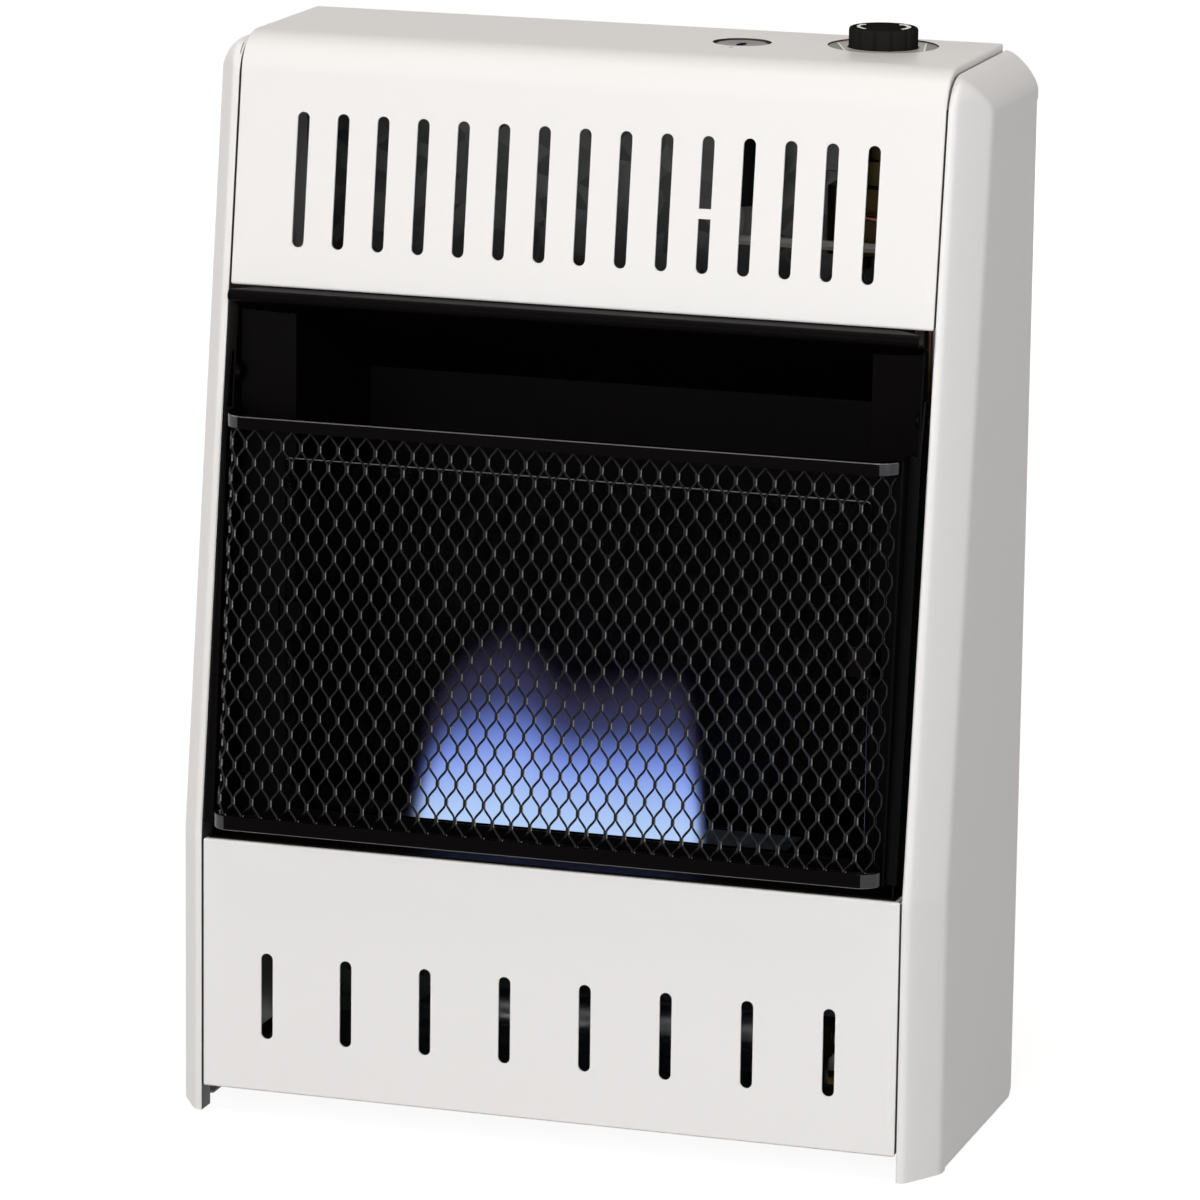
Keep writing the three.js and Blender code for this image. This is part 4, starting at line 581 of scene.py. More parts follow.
# Mesh helpers

# Places closer than this are one place, in metres, and faces within this angle are one face, in degrees
DOUBLES = 0.000002
CAD_DOUBLES = 0.000005
STRAND_DOUBLES = 0.00001
LATTICE_DOUBLES = 0.00004
FLAT_ANGLE = 1.0


def linked(name, data):
    """A new object in the scene for some data."""
    made = bpy.data.objects.new(name, data)
    bpy.context.scene.collection.objects.link(made)
    return made


def make_object(name, points, faces):
    """A mesh object from places in metres."""
    mesh = bpy.data.meshes.new(name)
    mesh.from_pydata([tuple(point) for point in points], [], faces)
    mesh.validate()
    return linked(name, mesh)


def with_bmesh(piece, work):
    """Runs a change on a piece's mesh."""
    form = bmesh.new()
    form.from_mesh(piece.data)
    work(form)
    form.to_mesh(piece.data)
    form.free()
    return piece


def face_out(piece):
    """Merges doubles and turns the faces of a closed shape outwards."""
    def work(form):
        bmesh.ops.remove_doubles(form, verts=form.verts, dist=DOUBLES)
        bmesh.ops.recalc_face_normals(form, faces=form.faces)
    return with_bmesh(piece, work)


def settle(piece, sharp=38.0, weighted=True):
    """Turns the modifiers' result into a plain mesh with smooth bends and crisp corners."""
    for pass_weighted in ((False, True) if weighted else (False,)):
        if pass_weighted:
            piece.modifiers.new("Weighted", "WEIGHTED_NORMAL").keep_sharp = True
        graph = bpy.context.evaluated_depsgraph_get()
        mesh = bpy.data.meshes.new_from_object(piece.evaluated_get(graph), depsgraph=graph)
        piece.modifiers.clear()
        old, piece.data = piece.data, mesh
        bpy.data.meshes.remove(old)
        if not pass_weighted:
            mesh.shade_smooth()
            mesh.set_sharp_from_angle(angle=math.radians(sharp))
    piece.data.name = piece.name
    return piece


def thicken(piece, gauge):
    """Gives a sheet its thickness, in metres, behind the drawn face."""
    solid = piece.modifiers.new("Sheet", "SOLIDIFY")
    solid.thickness = gauge
    solid.offset = -1.0
    solid.use_even_offset = True
    solid.thickness_clamp = 0.0
    return piece


def round_edges(piece, width, angle=50.0, segments=2):
    """Rounds by a width in metres every edge sharper than an angle."""
    bevel = piece.modifiers.new("Edges", "BEVEL")
    bevel.width = width
    bevel.segments = segments
    bevel.limit_method = "ANGLE"
    bevel.angle_limit = math.radians(angle)
    bevel.use_clamp_overlap = True
    return piece


def dress(piece, finish, nodes=(), body="cabinet"):
    """Gives a finished piece its material, its body and the nodes it stands for."""
    piece.data.materials.clear()
    piece.data.materials.append(looks[finish])
    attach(piece, body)
    if nodes:
        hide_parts(*nodes)
    return piece


def recoat(piece, finish, chosen):
    """Gives the chosen faces of a dressed piece another finish."""
    piece.data.materials.append(looks[finish])
    for face in piece.data.polygons:
        if chosen(face):
            face.material_index = len(piece.data.materials) - 1


def traced(node, finish, width, angle=30.0, body="cabinet", segments=2):
    """A frame node's own form, its flat faces cleaned and its edges rounded, standing for that node."""
    piece = linked(node + "_made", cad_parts[node].data.copy())
    piece.data.materials.clear()

    def clean(form):
        bmesh.ops.remove_doubles(form, verts=form.verts, dist=CAD_DOUBLES)
        flat = math.radians(FLAT_ANGLE)
        bmesh.ops.dissolve_limit(form, angle_limit=flat, verts=form.verts, edges=form.edges)
        bmesh.ops.recalc_face_normals(form, faces=form.faces)
    with_bmesh(piece, clean)
    round_edges(piece, width * MM, angle, segments)
    return dress(settle(piece), finish, (node,), body)


def joined(name, pieces):
    """Several closed shapes as one piece."""
    form = bmesh.new()
    for piece in pieces:
        form.from_mesh(piece.data)
        bpy.data.objects.remove(piece)
    mesh = bpy.data.meshes.new(name)
    form.to_mesh(mesh)
    form.free()
    return linked(name, mesh)


def mirrored(piece, name):
    """A copy of a piece on the other side of the middle plane."""
    made = linked(name, piece.data.copy())
    made.data.transform(Matrix.Scale(-1.0, 4, (1.0, 0.0, 0.0)))
    made.data.flip_normals()
    made.data.name = name
    return made


def bands(rows, size, closed=True):
    """Faces between rows of so many places each, right round a row where it is closed."""
    faces = []
    for row in range(rows - 1):
        for k in range(size if closed else size - 1):
            a, b = row * size + k, row * size + (k + 1) % size
            faces.append((a, b, b + size, a + size))
    return faces


def swept(name, points, size):
    """A closed shape from outlines of so many places each, the first and last filled in."""
    ends = [tuple(range(size)), tuple(range(len(points) - size, len(points)))]
    return face_out(make_object(name, points, ends + bands(len(points) // size, size)))


def prism(name, outline, low, high):
    """An upright prism from a plan outline."""
    return swept(name, [at(x, depth, z) for z in (low, high) for x, depth in outline], len(outline))


def lathe(name, profile, centre, sides, looped=False):
    """A turned shape on an upright axis from its (radius, height) profile, a ring where that is looped."""
    x, depth = centre
    points, faces, rings = [], [], []
    for radius, z in profile:
        if radius <= 0.0:
            rings.append([len(points)])
            points.append(at(x, depth, z))
            continue
        rings.append(list(range(len(points), len(points) + sides)))
        for k in range(sides):
            angle = 2 * math.pi * k / sides
            points.append(at(x + radius * math.cos(angle), depth + radius * math.sin(angle), z))
    for low, high in zip(rings, rings[1:] + (rings[:1] if looped else [])):
        for k in range(sides):
            after = (k + 1) % sides
            quad = [low[k % len(low)], low[after % len(low)], high[after % len(high)], high[k % len(high)]]
            faces.append(tuple(dict.fromkeys(quad)))
    return face_out(make_object(name, points, [face for face in faces if len(face) > 2]))


# Folded sheets


def folded_line(corners, rounds):
    """A line through corners, inner ones rounded by a radius in steps: its places and unit normals."""
    out = []
    last = len(corners) - 1
    vectors = [Vector(corner) for corner in corners]
    for i, corner in enumerate(vectors):
        before = (corner - vectors[i - 1]).normalized() if i else (vectors[1] - corner).normalized()
        after = (vectors[i + 1] - corner).normalized() if i < last else before
        if i in (0, last):
            out.append((corner, Vector((before.y, -before.x))))
            continue
        radius, count = rounds[i - 1]
        turn = before.angle_signed(after)
        reach = radius * math.tan(abs(turn) / 2)
        start_normal = Vector((before.y, -before.x))
        hand = 1.0 if turn > 0 else -1.0
        centre = corner - before * reach + start_normal * hand * radius
        for step in range(count + 1):
            angle = turn * step / count
            normal = start_normal.copy()
            normal.rotate(Matrix.Rotation(-angle, 2))
            out.append((centre - normal * hand * radius, normal))
    return out


def panel_axis(corners, fold, bends=()):
    """One way across a folded panel: its line, and for each step whether it is flange, fold or main."""
    line = folded_line(corners, [(fold, FOLD_STEPS), *bends, (fold, FOLD_STEPS)])
    last = len(line) - 2
    kinds = []
    for i in range(last + 1):
        rank = min(i, last - i)
        kinds.append("flange" if rank == 0 else "fold" if rank <= FOLD_STEPS else "main")
    return line, kinds


def with_stations(axis, places):
    """The same axis with more places in its flat middle, so that each opening has a face of its own."""
    line, kinds = axis
    middle = kinds.index("main") + 1
    added = [(Vector((x, 0.0)), line[middle][1]) for x in places]
    return line[:middle] + added + line[middle:], kinds[:middle] + ["main"] * len(added) + kinds[middle:]


def pressed_panel(name, rows, columns, gauge):
    """A sheet folded along its four sides, with drawn corners and a gap between the flanges there."""
    row_line, row_kinds = rows
    column_line, column_kinds = columns
    points, skin, known = [], [], {}

    def corner(i, j):
        """Number of the outer place at a crossing, which the inner one follows."""
        if (i, j) not in known:
            (depth, z), inner = row_line[i]
            (x, inward), outer = column_line[j]
            known[i, j] = len(points)
            for x_place, reach in ((x, inward), (x - outer.x * gauge, inward - outer.y * gauge)):
                points.append(at(x_place, depth + inner.x * reach, z + inner.y * reach))
        return known[i, j]

    for i, row_kind in enumerate(row_kinds):
        for j, column_kind in enumerate(column_kinds):
            kinds = (row_kind, column_kind)
            if "flange" not in kinds or "main" in kinds:
                skin.append((corner(i, j), corner(i, j + 1), corner(i + 1, j + 1), corner(i + 1, j)))
    uses = {}
    for face in skin:
        for a, b in zip(face, face[1:] + face[:1]):
            uses.setdefault(frozenset((a, b)), []).append((a, b))
    rims = [(a, b, b + 1, a + 1) for (a, b), *more in uses.values() if not more]
    faces = skin + [tuple(k + 1 for k in reversed(face)) for face in skin] + rims
    return face_out(make_object(name, points, faces))


# Geometry node trees


def give_tree(piece, tree, values):
    """Adds a node modifier with its inputs set by identifier."""
    modifier = piece.modifiers.new(tree.name, "NODES")
    modifier.node_group = tree
    sockets = {item.name: item.identifier for item in tree.interface.items_tree if item.in_out == "INPUT"}
    for name, value in values.items():
        modifier[sockets[name]] = value
    return piece


def cut_from(tree, whole, cutter):
    """One solid with another cut out of it."""
    solids = {0: whole, 1: cutter}
    return output(tree, "GeometryNodeMeshBoolean", solids, operation="DIFFERENCE", solver="EXACT")


def moved_by(tree, geometry, **values):
    """Geometry that is turned or moved."""
    return output(tree, "GeometryNodeTransform", {"Geometry": geometry, **values})


def realized(tree, geometry):
    """Geometry whose instances are made real."""
    return output(tree, "GeometryNodeRealizeInstances", {"Geometry": geometry})


def end_tree(tree, leave, geometry, material):
    """Gives a tree's result its material and puts it out."""
    painted_result = {"Geometry": geometry, "Material": material}
    fill(tree, leave, {"Geometry": output(tree, "GeometryNodeSetMaterial", painted_result)})


def slot_tree():
    """Cuts a row of round-ended slots through a sheet, and leaves one web of metal across a slot."""
    tree, given, leave = new_group("Slot Row", "GeometryNodeTree", {
        "Geometry": (GEOMETRY, None), "Count": (WHOLE, 15), "Pitch": (FLOAT, 0.02), "Width": (FLOAT, 0.006),
        "Length": (FLOAT, 0.06), "Height": (FLOAT, 0.45), "Front": (FLOAT, -0.03),
        "Web Place": (VECTOR, (0.0, 0.0, 9.0)), "Web Size": (VECTOR, (0.01, 0.2, 0.005)),
        "Material": (MATERIAL, None),
    }, {"Geometry": GEOMETRY})
    round_share, half_cut = 0.4995, 0.03
    size = {"Width": given["Width"], "Height": given["Length"]}
    outline = output(tree, "GeometryNodeCurvePrimitiveQuadrilateral", size)
    radius = math_node(tree, "MULTIPLY", given["Width"], round_share)
    ends = {"Curve": outline, "Radius": radius, "Count": 6}
    rounded = output(tree, "GeometryNodeFilletCurve", ends, mode="POLY")
    reach = {"Start": (0.0, 0.0, -half_cut), "End": (0.0, 0.0, half_cut)}
    through = output(tree, "GeometryNodeCurvePrimitiveLine", reach)
    sweep = {"Curve": through, "Profile Curve": rounded, "Fill Caps": True}
    cutter = output(tree, "GeometryNodeCurveToMesh", sweep)
    upright = moved_by(tree, cutter, Rotation=(math.pi / 2, 0.0, 0.0))
    wide = math_node(tree, "MULTIPLY", math_node(tree, "SUBTRACT", given["Count"], 1.0), given["Pitch"])
    start = math_node(tree, "MULTIPLY", wide, -0.5)
    first = output(tree, "ShaderNodeCombineXYZ", {0: start, 1: given["Front"], 2: given["Height"]})
    step = output(tree, "ShaderNodeCombineXYZ", {0: given["Pitch"]})
    places = {"Count": given["Count"], "Start Location": first, "Offset": step}
    line = output(tree, "GeometryNodeMeshLine", places)
    row = output(tree, "GeometryNodeInstanceOnPoints", {"Points": line, "Instance": upright})
    web = output(tree, "GeometryNodeMeshCube", {"Size": given["Web Size"]})
    placed = moved_by(tree, web, Translation=given["Web Place"])
    parted = cut_from(tree, realized(tree, row), placed)
    pierced = cut_from(tree, given["Geometry"], parted)
    end_tree(tree, leave, realized(tree, pierced), given["Material"])
    return tree


def hole_tree():
    """Cuts one round upright hole through a sheet."""
    tree, given, leave = new_group("Round Hole", "GeometryNodeTree", {
        "Geometry": (GEOMETRY, None), "Place": (VECTOR, (0.0, 0.0, 0.5)), "Radius": (FLOAT, 0.01),
        "Sides": (WHOLE, 72), "Material": (MATERIAL, None),
    }, {"Geometry": GEOMETRY})
    size = {"Vertices": given["Sides"], "Radius": given["Radius"], "Depth": 0.01}
    punch = output(tree, "GeometryNodeMeshCylinder", size)
    pierced = cut_from(tree, given["Geometry"], moved_by(tree, punch, Translation=given["Place"]))
    end_tree(tree, leave, realized(tree, pierced), given["Material"])
    return tree


def lattice_tree():
    """Lays one knuckle with its strands over a staggered grid and joins them where they meet."""
    tree, given, leave = new_group("Expanded Metal", "GeometryNodeTree", {
        "Geometry": (GEOMETRY, None), "Columns": (WHOLE, 36), "Rows": (WHOLE, 12),
        "Short Way": (FLOAT, 0.0093), "Long Way": (FLOAT, 0.017), "Material": (MATERIAL, None),
    }, {"Geometry": GEOMETRY})

    def grid(shift, fewer):
        """An upright grid, moved up by a share of the long way."""
        across = math_node(tree, "SUBTRACT", given["Columns"], float(fewer))
        wide = math_node(tree, "MULTIPLY", math_node(tree, "SUBTRACT", across, 1.0), given["Short Way"])
        rows = math_node(tree, "SUBTRACT", given["Rows"], 1.0)
        high = math_node(tree, "MULTIPLY", rows, given["Long Way"])
        size = {"Size X": wide, "Size Y": high, "Vertices X": across, "Vertices Y": given["Rows"]}
        made = output(tree, "GeometryNodeMeshGrid", size)
        up = output(tree, "ShaderNodeCombineXYZ", {2: math_node(tree, "MULTIPLY", given["Long Way"], shift)})
        return moved_by(tree, made, Rotation=(math.pi / 2, 0.0, 0.0), Translation=up)

    both = add_node(tree, "GeometryNodeJoinGeometry")
    for made in (grid(0.0, 0), grid(0.5, 1)):
        tree.links.new(made, both.inputs[0])
    laid = {"Points": both.outputs[0], "Instance": given["Geometry"]}
    real = realized(tree, output(tree, "GeometryNodeInstanceOnPoints", laid))
    welded = output(tree, "GeometryNodeMergeByDistance", {"Geometry": real, "Distance": LATTICE_DOUBLES})
    end_tree(tree, leave, welded, given["Material"])
    return tree


# Casing


def in_front_seam(face):
    """Whether a face of a front sheet looks into the seam beside it, below the lit end of that seam."""
    centre = face.center / MM
    return abs(face.normal.x) > 0.98 and abs(centre.x) > HALF_FACE - 0.2 and centre.z < SEAM_LIT


def in_top_hole(face):
    """Whether a face of the upper casing is the cut wall of one of the holes in its top."""
    for (x, depth), radius in ((DIAL, DIAL_HOLE), (IGNITER, IGNITER_HOLE)):
        away = (face.center - at(x, depth, face.center.z / MM)).length / MM
        if abs(away - radius) < 0.3 and abs(face.normal.z) < 0.3 and face.center.z / MM > HEIGHT - 2.0:
            return True
    return False


def in_side_seam(face):
    """Whether a face of a side sheet looks into the seam or the cabinet."""
    return math.copysign(face.normal.x, face.normal.x * face.center.x) < -0.9


def front_sheet(name, corners, bends, sizes, count, slot_row, more=None):
    """A front sheet of the casing, folded along its four sides, with its row of slots."""
    fold, (pitch, long, middle) = sizes.fold / MM, slot_row
    across = [(-HALF_FACE, FLANGE), (-HALF_FACE, 0.0), (HALF_FACE, 0.0), (HALF_FACE, FLANGE)]
    between = [pitch * (k - count / 2) for k in range(count + 1)]
    columns = with_stations(panel_axis(across, fold), between)
    piece = pressed_panel(name, panel_axis(corners, fold, bends), columns, sizes.gauge / MM)
    return give_tree(piece, slot_tree(), {
        "Count": count, "Pitch": pitch * MM, "Width": sizes.slot_width, "Length": long * MM,
        "Height": middle * MM, "Front": BACK - front_depth(middle) * MM, "Material": looks["white"],
        **(more or {}),
    })


def paint_front(piece, node, sizes):
    """Finishes a front sheet, with painted shade on its faces turned into the cabinet and on those that look
    into the seams beside it.
    """
    round_edges(piece, sizes.rim)
    dress(settle(piece), "white", (node,))
    # Faces turned back into the cabinet get painted shade.
    recoat(piece, "inner_shade", lambda face: face.normal.y > 0.6)
    # Faces looking into a seam, below its lit end, get painted seam shade.
    recoat(piece, "seam", in_front_seam)


def smoothed(sections, rounds):
    """Corner cutting that keeps both ends."""
    line = [Vector(section) for section in sections]
    for _ in range(rounds):
        cut = [line[0]]
        for before, after in zip(line, line[1:]):
            cut += [before.lerp(after, 0.25), before.lerp(after, 0.75)]
        line = cut + [line[-1]]
    return line


def side_ring(inset, drop, radius):
    """Line of a side panel seen from the side, from the wall over the top to the foot."""
    top = HEIGHT - drop
    kink = (BOTTOM_DEPTH - inset, WINDOW_BOTTOM)
    corners = [(0.0, top), (front_depth(top) - inset, top), kink, (kink[0], 0.0)]
    return folded_line(corners, [(radius, BEND_STEPS), (KINK_RADIUS, 5)])


def side_rings():
    """Lines of the right side panel from its seam out to its flat, each with its x and inward reach."""
    rings = [(SEAM_X + out, side_ring(0.0, 3.0, TOP_RADIUS), inward) for out, inward in SEAM_ROUNDING]
    for x, inset, drop in smoothed(SIDE_SECTIONS, 2):
        if x > SEAM_X + SEAM_ROUNDING[-1][0]:
            share = min((x - SEAM_X) / (SIDE_X - SEAM_X), 1.0)
            radius = SIDE_CORNER + (TOP_RADIUS - SIDE_CORNER) * (1 - share) ** 1.8
            rings.append((x, side_ring(inset, drop, radius), 0.0))
    return rings


def side_skin():
    """Places and faces of the right side panel's outer skin, with its rear and foot flanges."""
    rings = side_rings()
    points = []
    count = len(rings[0][1])
    for x, ring, inward in rings:
        points += [at(x, place.x + normal.x * inward, place.y + normal.y * inward) for place, normal in ring]
    faces = bands(len(rings), count, closed=False)
    edge = [(len(rings) - 1) * count + i for i in range(count)]
    front, top = rings[-1][1][-1][0].x, rings[-1][1][0][0].y

    def add(x, depth, z):
        points.append(at(x, depth, z))
        return len(points) - 1

    foot = [add(SIDE_X, front - EAR, 0.0), add(SIDE_X, front - EAR, SIDE_FOLD), add(SIDE_X, EAR, SIDE_FOLD)]
    rear = [add(SIDE_X, SIDE_FOLD, EAR), add(SIDE_X, SIDE_FOLD, top - EAR), add(SIDE_X, 0.0, top - EAR)]
    faces.append(tuple(edge + foot + rear))
    flanges = ((foot[1], foot[2], FLANGE, False), (rear[0], rear[1], REAR_FLANGE, True))
    for start, end, wide, upright in flanges:
        spans = [(start, end)]
        for step in range(1, FOLD_STEPS + 2):
            angle = math.pi / 2 * min(step, FOLD_STEPS) / FOLD_STEPS
            x = SIDE_X - SIDE_FOLD * (1 - math.cos(angle)) - (wide - SIDE_FOLD if step > FOLD_STEPS else 0.0)
            off = SIDE_FOLD * (1 - math.sin(angle))
            if upright:
                spans.append((add(x, off, EAR), add(x, off, top - EAR)))
            else:
                spans.append((add(x, front - EAR, off), add(x, EAR, off)))
        for (a, b), (c, d) in zip(spans, spans[1:]):
            faces.append((a, b, d, c))
    return points, faces


# Guard


def guard_plan(distance, offset):
    """Plan place on the guard, by the distance along it from its middle and an offset behind its face."""
    flat_half = GUARD_HALF - GUARD_RADIUS
    if abs(distance) <= flat_half:
        return distance, offset
    angle = (abs(distance) - flat_half) / (GUARD_RADIUS - RAIL_DEPTH / 2)
    radius = GUARD_RADIUS - offset
    x = math.copysign(flat_half + radius * math.sin(angle), distance)
    return x, GUARD_RADIUS - radius * math.cos(angle)


def guard_half_length():
    """Half the length of the guard's middle line."""
    return GUARD_HALF - GUARD_RADIUS + (GUARD_RADIUS - RAIL_DEPTH / 2) * math.pi / 2


def strand_unit(sizes):
    """One tilted knuckle with the two strands that leave its head, their far ends open."""
    half, long_half, knuckle = sizes.short_way / 2, sizes.long_way / 2, sizes.knuckle / 2
    width, thick = sizes.strand / 2, sizes.sheet / 2
    flat = Vector((math.cos(sizes.tilt), -math.sin(sizes.tilt), 0.0))
    up = Vector((0.0, 0.0, 1.0))
    steps, straight = 6, 0.55
    points, faces = [], []

    def ring(middle, along):
        """Corners of a section across a strand's way: left front, left back, right front, right back."""
        side = (flat - along * flat.dot(along)).normalized()
        deep = along.cross(side)
        for across in (-width, width):
            points.extend([middle + side * across - deep * thick, middle + side * across + deep * thick])
        return len(points) - 4

    def wall(low, high, left, right):
        """Front and back of a length of strand, and its sides where it has them."""
        faces.append((low, low + 2, high + 2, high))
        faces.append((low + 3, low + 1, high + 1, high + 3))
        if left:
            faces.append((low + 1, low, high, high + 1))
        if right:
            faces.append((low + 2, low + 3, high + 3, high + 2))

    for hand in (-1, 1):
        near, far = flat * width * hand, flat * -width * hand + Vector((half * hand, 0.0, 0.0))
        before, worn = ring(near + up * knuckle, up), len(faces)
        wall(ring(near - up * knuckle, up), before, hand < 0, hand > 0)
        rise = long_half - 2 * knuckle
        for step in range(1, steps + 1):
            share = step / steps
            moved = straight * share + (1 - straight) * share * share * (3 - 2 * share)
            speed = straight + (1 - straight) * 6 * share * (1 - share)
            along = (up if step == steps else (far - near) * speed + up * rise).normalized()
            after = ring(near.lerp(far, moved) + up * (knuckle + rise * share), along)
            wall(before, after, True, True)
            before = after
    unit = make_object("guard_lattice", points, faces)
    # The front and one side of each knuckle's head carry the painted highlight.
    bright = unit.data.attributes.new("worn", "FLOAT", "CORNER")
    front, side = unit.data.polygons[worn], unit.data.polygons[worn + 2]
    for corner in (*list(front.loop_indices)[1:3], *side.loop_indices):
        bright.data[corner].value = 1.0

    def merge(form):
        bmesh.ops.remove_doubles(form, verts=form.verts, dist=STRAND_DOUBLES)
    return with_bmesh(unit, merge)


def trim_and_bend(form, low, high):
    """Cuts laid expanded metal to the guard's opening and bends it to the guard's plan and lean."""
    reach, middle = guard_half_length(), (low + high) / 2
    for vert in form.verts:
        vert.co.z += middle * MM
    for co, way in (((0, 0, low * MM), (0, 0, -1)), ((0, 0, high * MM), (0, 0, 1)),
                    ((-reach * MM, 0, 0), (-1, 0, 0)), ((reach * MM, 0, 0), (1, 0, 0))):
        parts = list(form.verts) + list(form.edges) + list(form.faces)
        bmesh.ops.bisect_plane(form, geom=parts, plane_co=co, plane_no=way, clear_outer=True)
        bmesh.ops.holes_fill(form, edges=[edge for edge in form.edges if edge.is_boundary])
    for vert in form.verts:
        z = vert.co.z / MM
        x, offset = guard_plan(vert.co.x / MM, RAIL_DEPTH / 2 + vert.co.y / MM)
        vert.co = at(x, guard_depth(z) - offset, z)
    bmesh.ops.recalc_face_normals(form, faces=form.faces)


def rail(name, low, height, depth, web_at_top):
    """A channel rolled round the guard's corners, open towards the expanded metal."""
    high = low + height
    web = (high, high - RAIL_WALL) if web_at_top else (low, low + RAIL_WALL)
    far = low if web_at_top else high
    section = [
        (0.0, far), (0.0, web[0]), (RAIL_DEPTH, web[0]), (RAIL_DEPTH, far), (RAIL_DEPTH - RAIL_WALL, far),
        (RAIL_DEPTH - RAIL_WALL, web[1]), (RAIL_WALL, web[1]), (RAIL_WALL, far),
    ]
    flat_half, reach = GUARD_HALF - GUARD_RADIUS, guard_half_length()
    right = [flat_half + (reach - flat_half) * step / RAIL_ARC_STEPS for step in range(RAIL_ARC_STEPS + 1)]
    points = []
    for station in [-place for place in reversed(right)] + right:
        for offset, z in section:
            x, behind = guard_plan(station, offset)
            points.append(at(x, depth - behind, z))
    return settle(round_edges(swept(name, points, len(section)), RAIL_RIM * MM))


def on_highlit_edge(face, way):
    """Whether a face of a rail is on its outer front edge, up for a way of 1 and down for -1."""
    return face.normal.y < -0.3 and 0.3 < way * face.normal.z < 0.95


def on_rolled_end(face):
    """Whether a face of a rail is on one of its rounded ends."""
    return 0.2 < abs(face.normal.x) < 0.97 and abs(face.normal.z) < 0.2


def pan_screw(name, hand):
    """The guard's pan-head screw on one side, with a cross recess in its head."""
    head = [
        (0.0, 2.6), (1.6, 2.55), (2.9, 2.2), (4.0, 1.45), (4.5, 0.6), (4.6, 0.0), (1.9, 0.0), (1.9, -3.4),
        (0.0, -3.4),
    ]
    x, depth, z = GUARD_SCREW
    turned = lathe(name, head, (0.0, 0.0), 40)
    arms = [prism(name + "_arm", [(-w, -l), (w, -l), (w, l), (-w, l)], 1.2, 4.0)
            for w, l in ((0.45, 2.2), (2.2, 0.45))]
    for arm in arms:
        cut = turned.modifiers.new("Recess", "BOOLEAN")
        cut.object = arm
        cut.operation = "DIFFERENCE"
        cut.solver = "EXACT"
    settle(round_edges(turned, SCREW_RIM * MM))
    for arm in arms:
        bpy.data.objects.remove(arm)
    turned.data.transform(Matrix.Translation((0.0, -BACK, 0.0)))
    turned.data.transform(Matrix.Rotation(-hand * math.pi / 2, 4, "Y"))
    turned.data.transform(Matrix.Translation(at(hand * x, depth, z)))
    return turned


# Controls


def arc_mark(radius, width, start, end, arrow):
    """A printed arc round the knob's middle from one angle to another, with an arrow head of a length."""
    steps, lift = 20, 0.08
    x, depth = DIAL
    outline = []
    for side in (0.5, -0.5):
        for step in range(steps + 1):
            share = step / steps if side > 0 else 1 - step / steps
            angle = math.radians(start + (end - start) * share)
            r = radius + side * width
            outline.append((x + r * math.cos(angle), depth - r * math.sin(angle)))
    way = 1 if end > start else -1
    angle, ahead = math.radians(end), math.radians(end + way * math.degrees(arrow / radius))
    corners = [(radius - 1.3 * width, angle), (radius + 1.3 * width, angle), (radius, ahead)]
    head = [(x + r * math.cos(turn), depth - r * math.sin(turn)) for r, turn in corners]
    return [prism("mark", form, KNOB_TOP - PRINT_DEPTH, KNOB_TOP + lift) for form in (outline, head)]


def knob_moulding():
    """The fluted knob, from the bore of its cup down round its foot and up over its rim to its flat top."""
    x, depth = DIAL
    foot, top = KNOB_FOOT, KNOB_TOP
    levels = [
        (foot + 22.3, 13.1, 0.0), (foot + 2.0, 13.1, 0.0), (foot + 2.0, 10.4, 0.0), (foot + 23.0, 10.4, 0.0),
        (foot + 23.0, 2.0, 0.0), (foot, 2.0, 0.0), (foot, 0.5, 1.0), (foot + 0.5, 0.0, 1.0),
        (top - 1.6, 0.0, 1.0), (top - 0.7, 0.15, 0.9), (top - 0.2, 0.55, 0.6), (top, 1.1, 0.0),
        (top, 1.7, 0.0), (top - 0.35, 1.9, 0.0), (top - 0.35, 2.2, 0.0), (top, 2.4, 0.0), (top, 9.7, 0.0),
        (top - 0.4, 9.9, 0.0), (top - 0.4, 10.3, 0.0), (top, 10.5, 0.0), (top, 11.0, 0.0),
    ]
    pitch = 2 * math.pi / KNOB_LOBES
    angles = [(k + 0.5 + place) * pitch for k in range(KNOB_LOBES) for place in GROOVE_PLACES]
    size = len(angles)
    points = []
    for z, inset, groove in levels:
        for angle, share in zip(angles, GROOVE_SHARES * KNOB_LOBES):
            radius = KNOB_RADIUS - inset - GROOVE * share * groove
            points.append(at(x + radius * math.cos(angle), depth + radius * math.sin(angle), z))
    faces = bands(len(levels), size)
    for base, z in ((0, levels[0][0]), ((len(levels) - 1) * size, top)):
        points.append(at(x, depth, z))
        faces += [(base + i, base + (i + 1) % size, len(points) - 1) for i in range(size)]
    return face_out(make_object("control_knob_moulding", points, faces))


# Stage


def seen_straight(tree):
    """1 where the camera, or a reflection or glass before it, sees a surface straight on, and 0 for light."""
    path = add_node(tree, "ShaderNodeLightPath").outputs
    seen = math_node(tree, "MAXIMUM", path["Is Camera Ray"], path["Is Glossy Ray"])
    seen = math_node(tree, "MAXIMUM", seen, path["Is Transmission Ray"])
    return math_node(tree, "MULTIPLY", seen, math_node(tree, "LESS_THAN", path["Diffuse Depth"], 0.5))


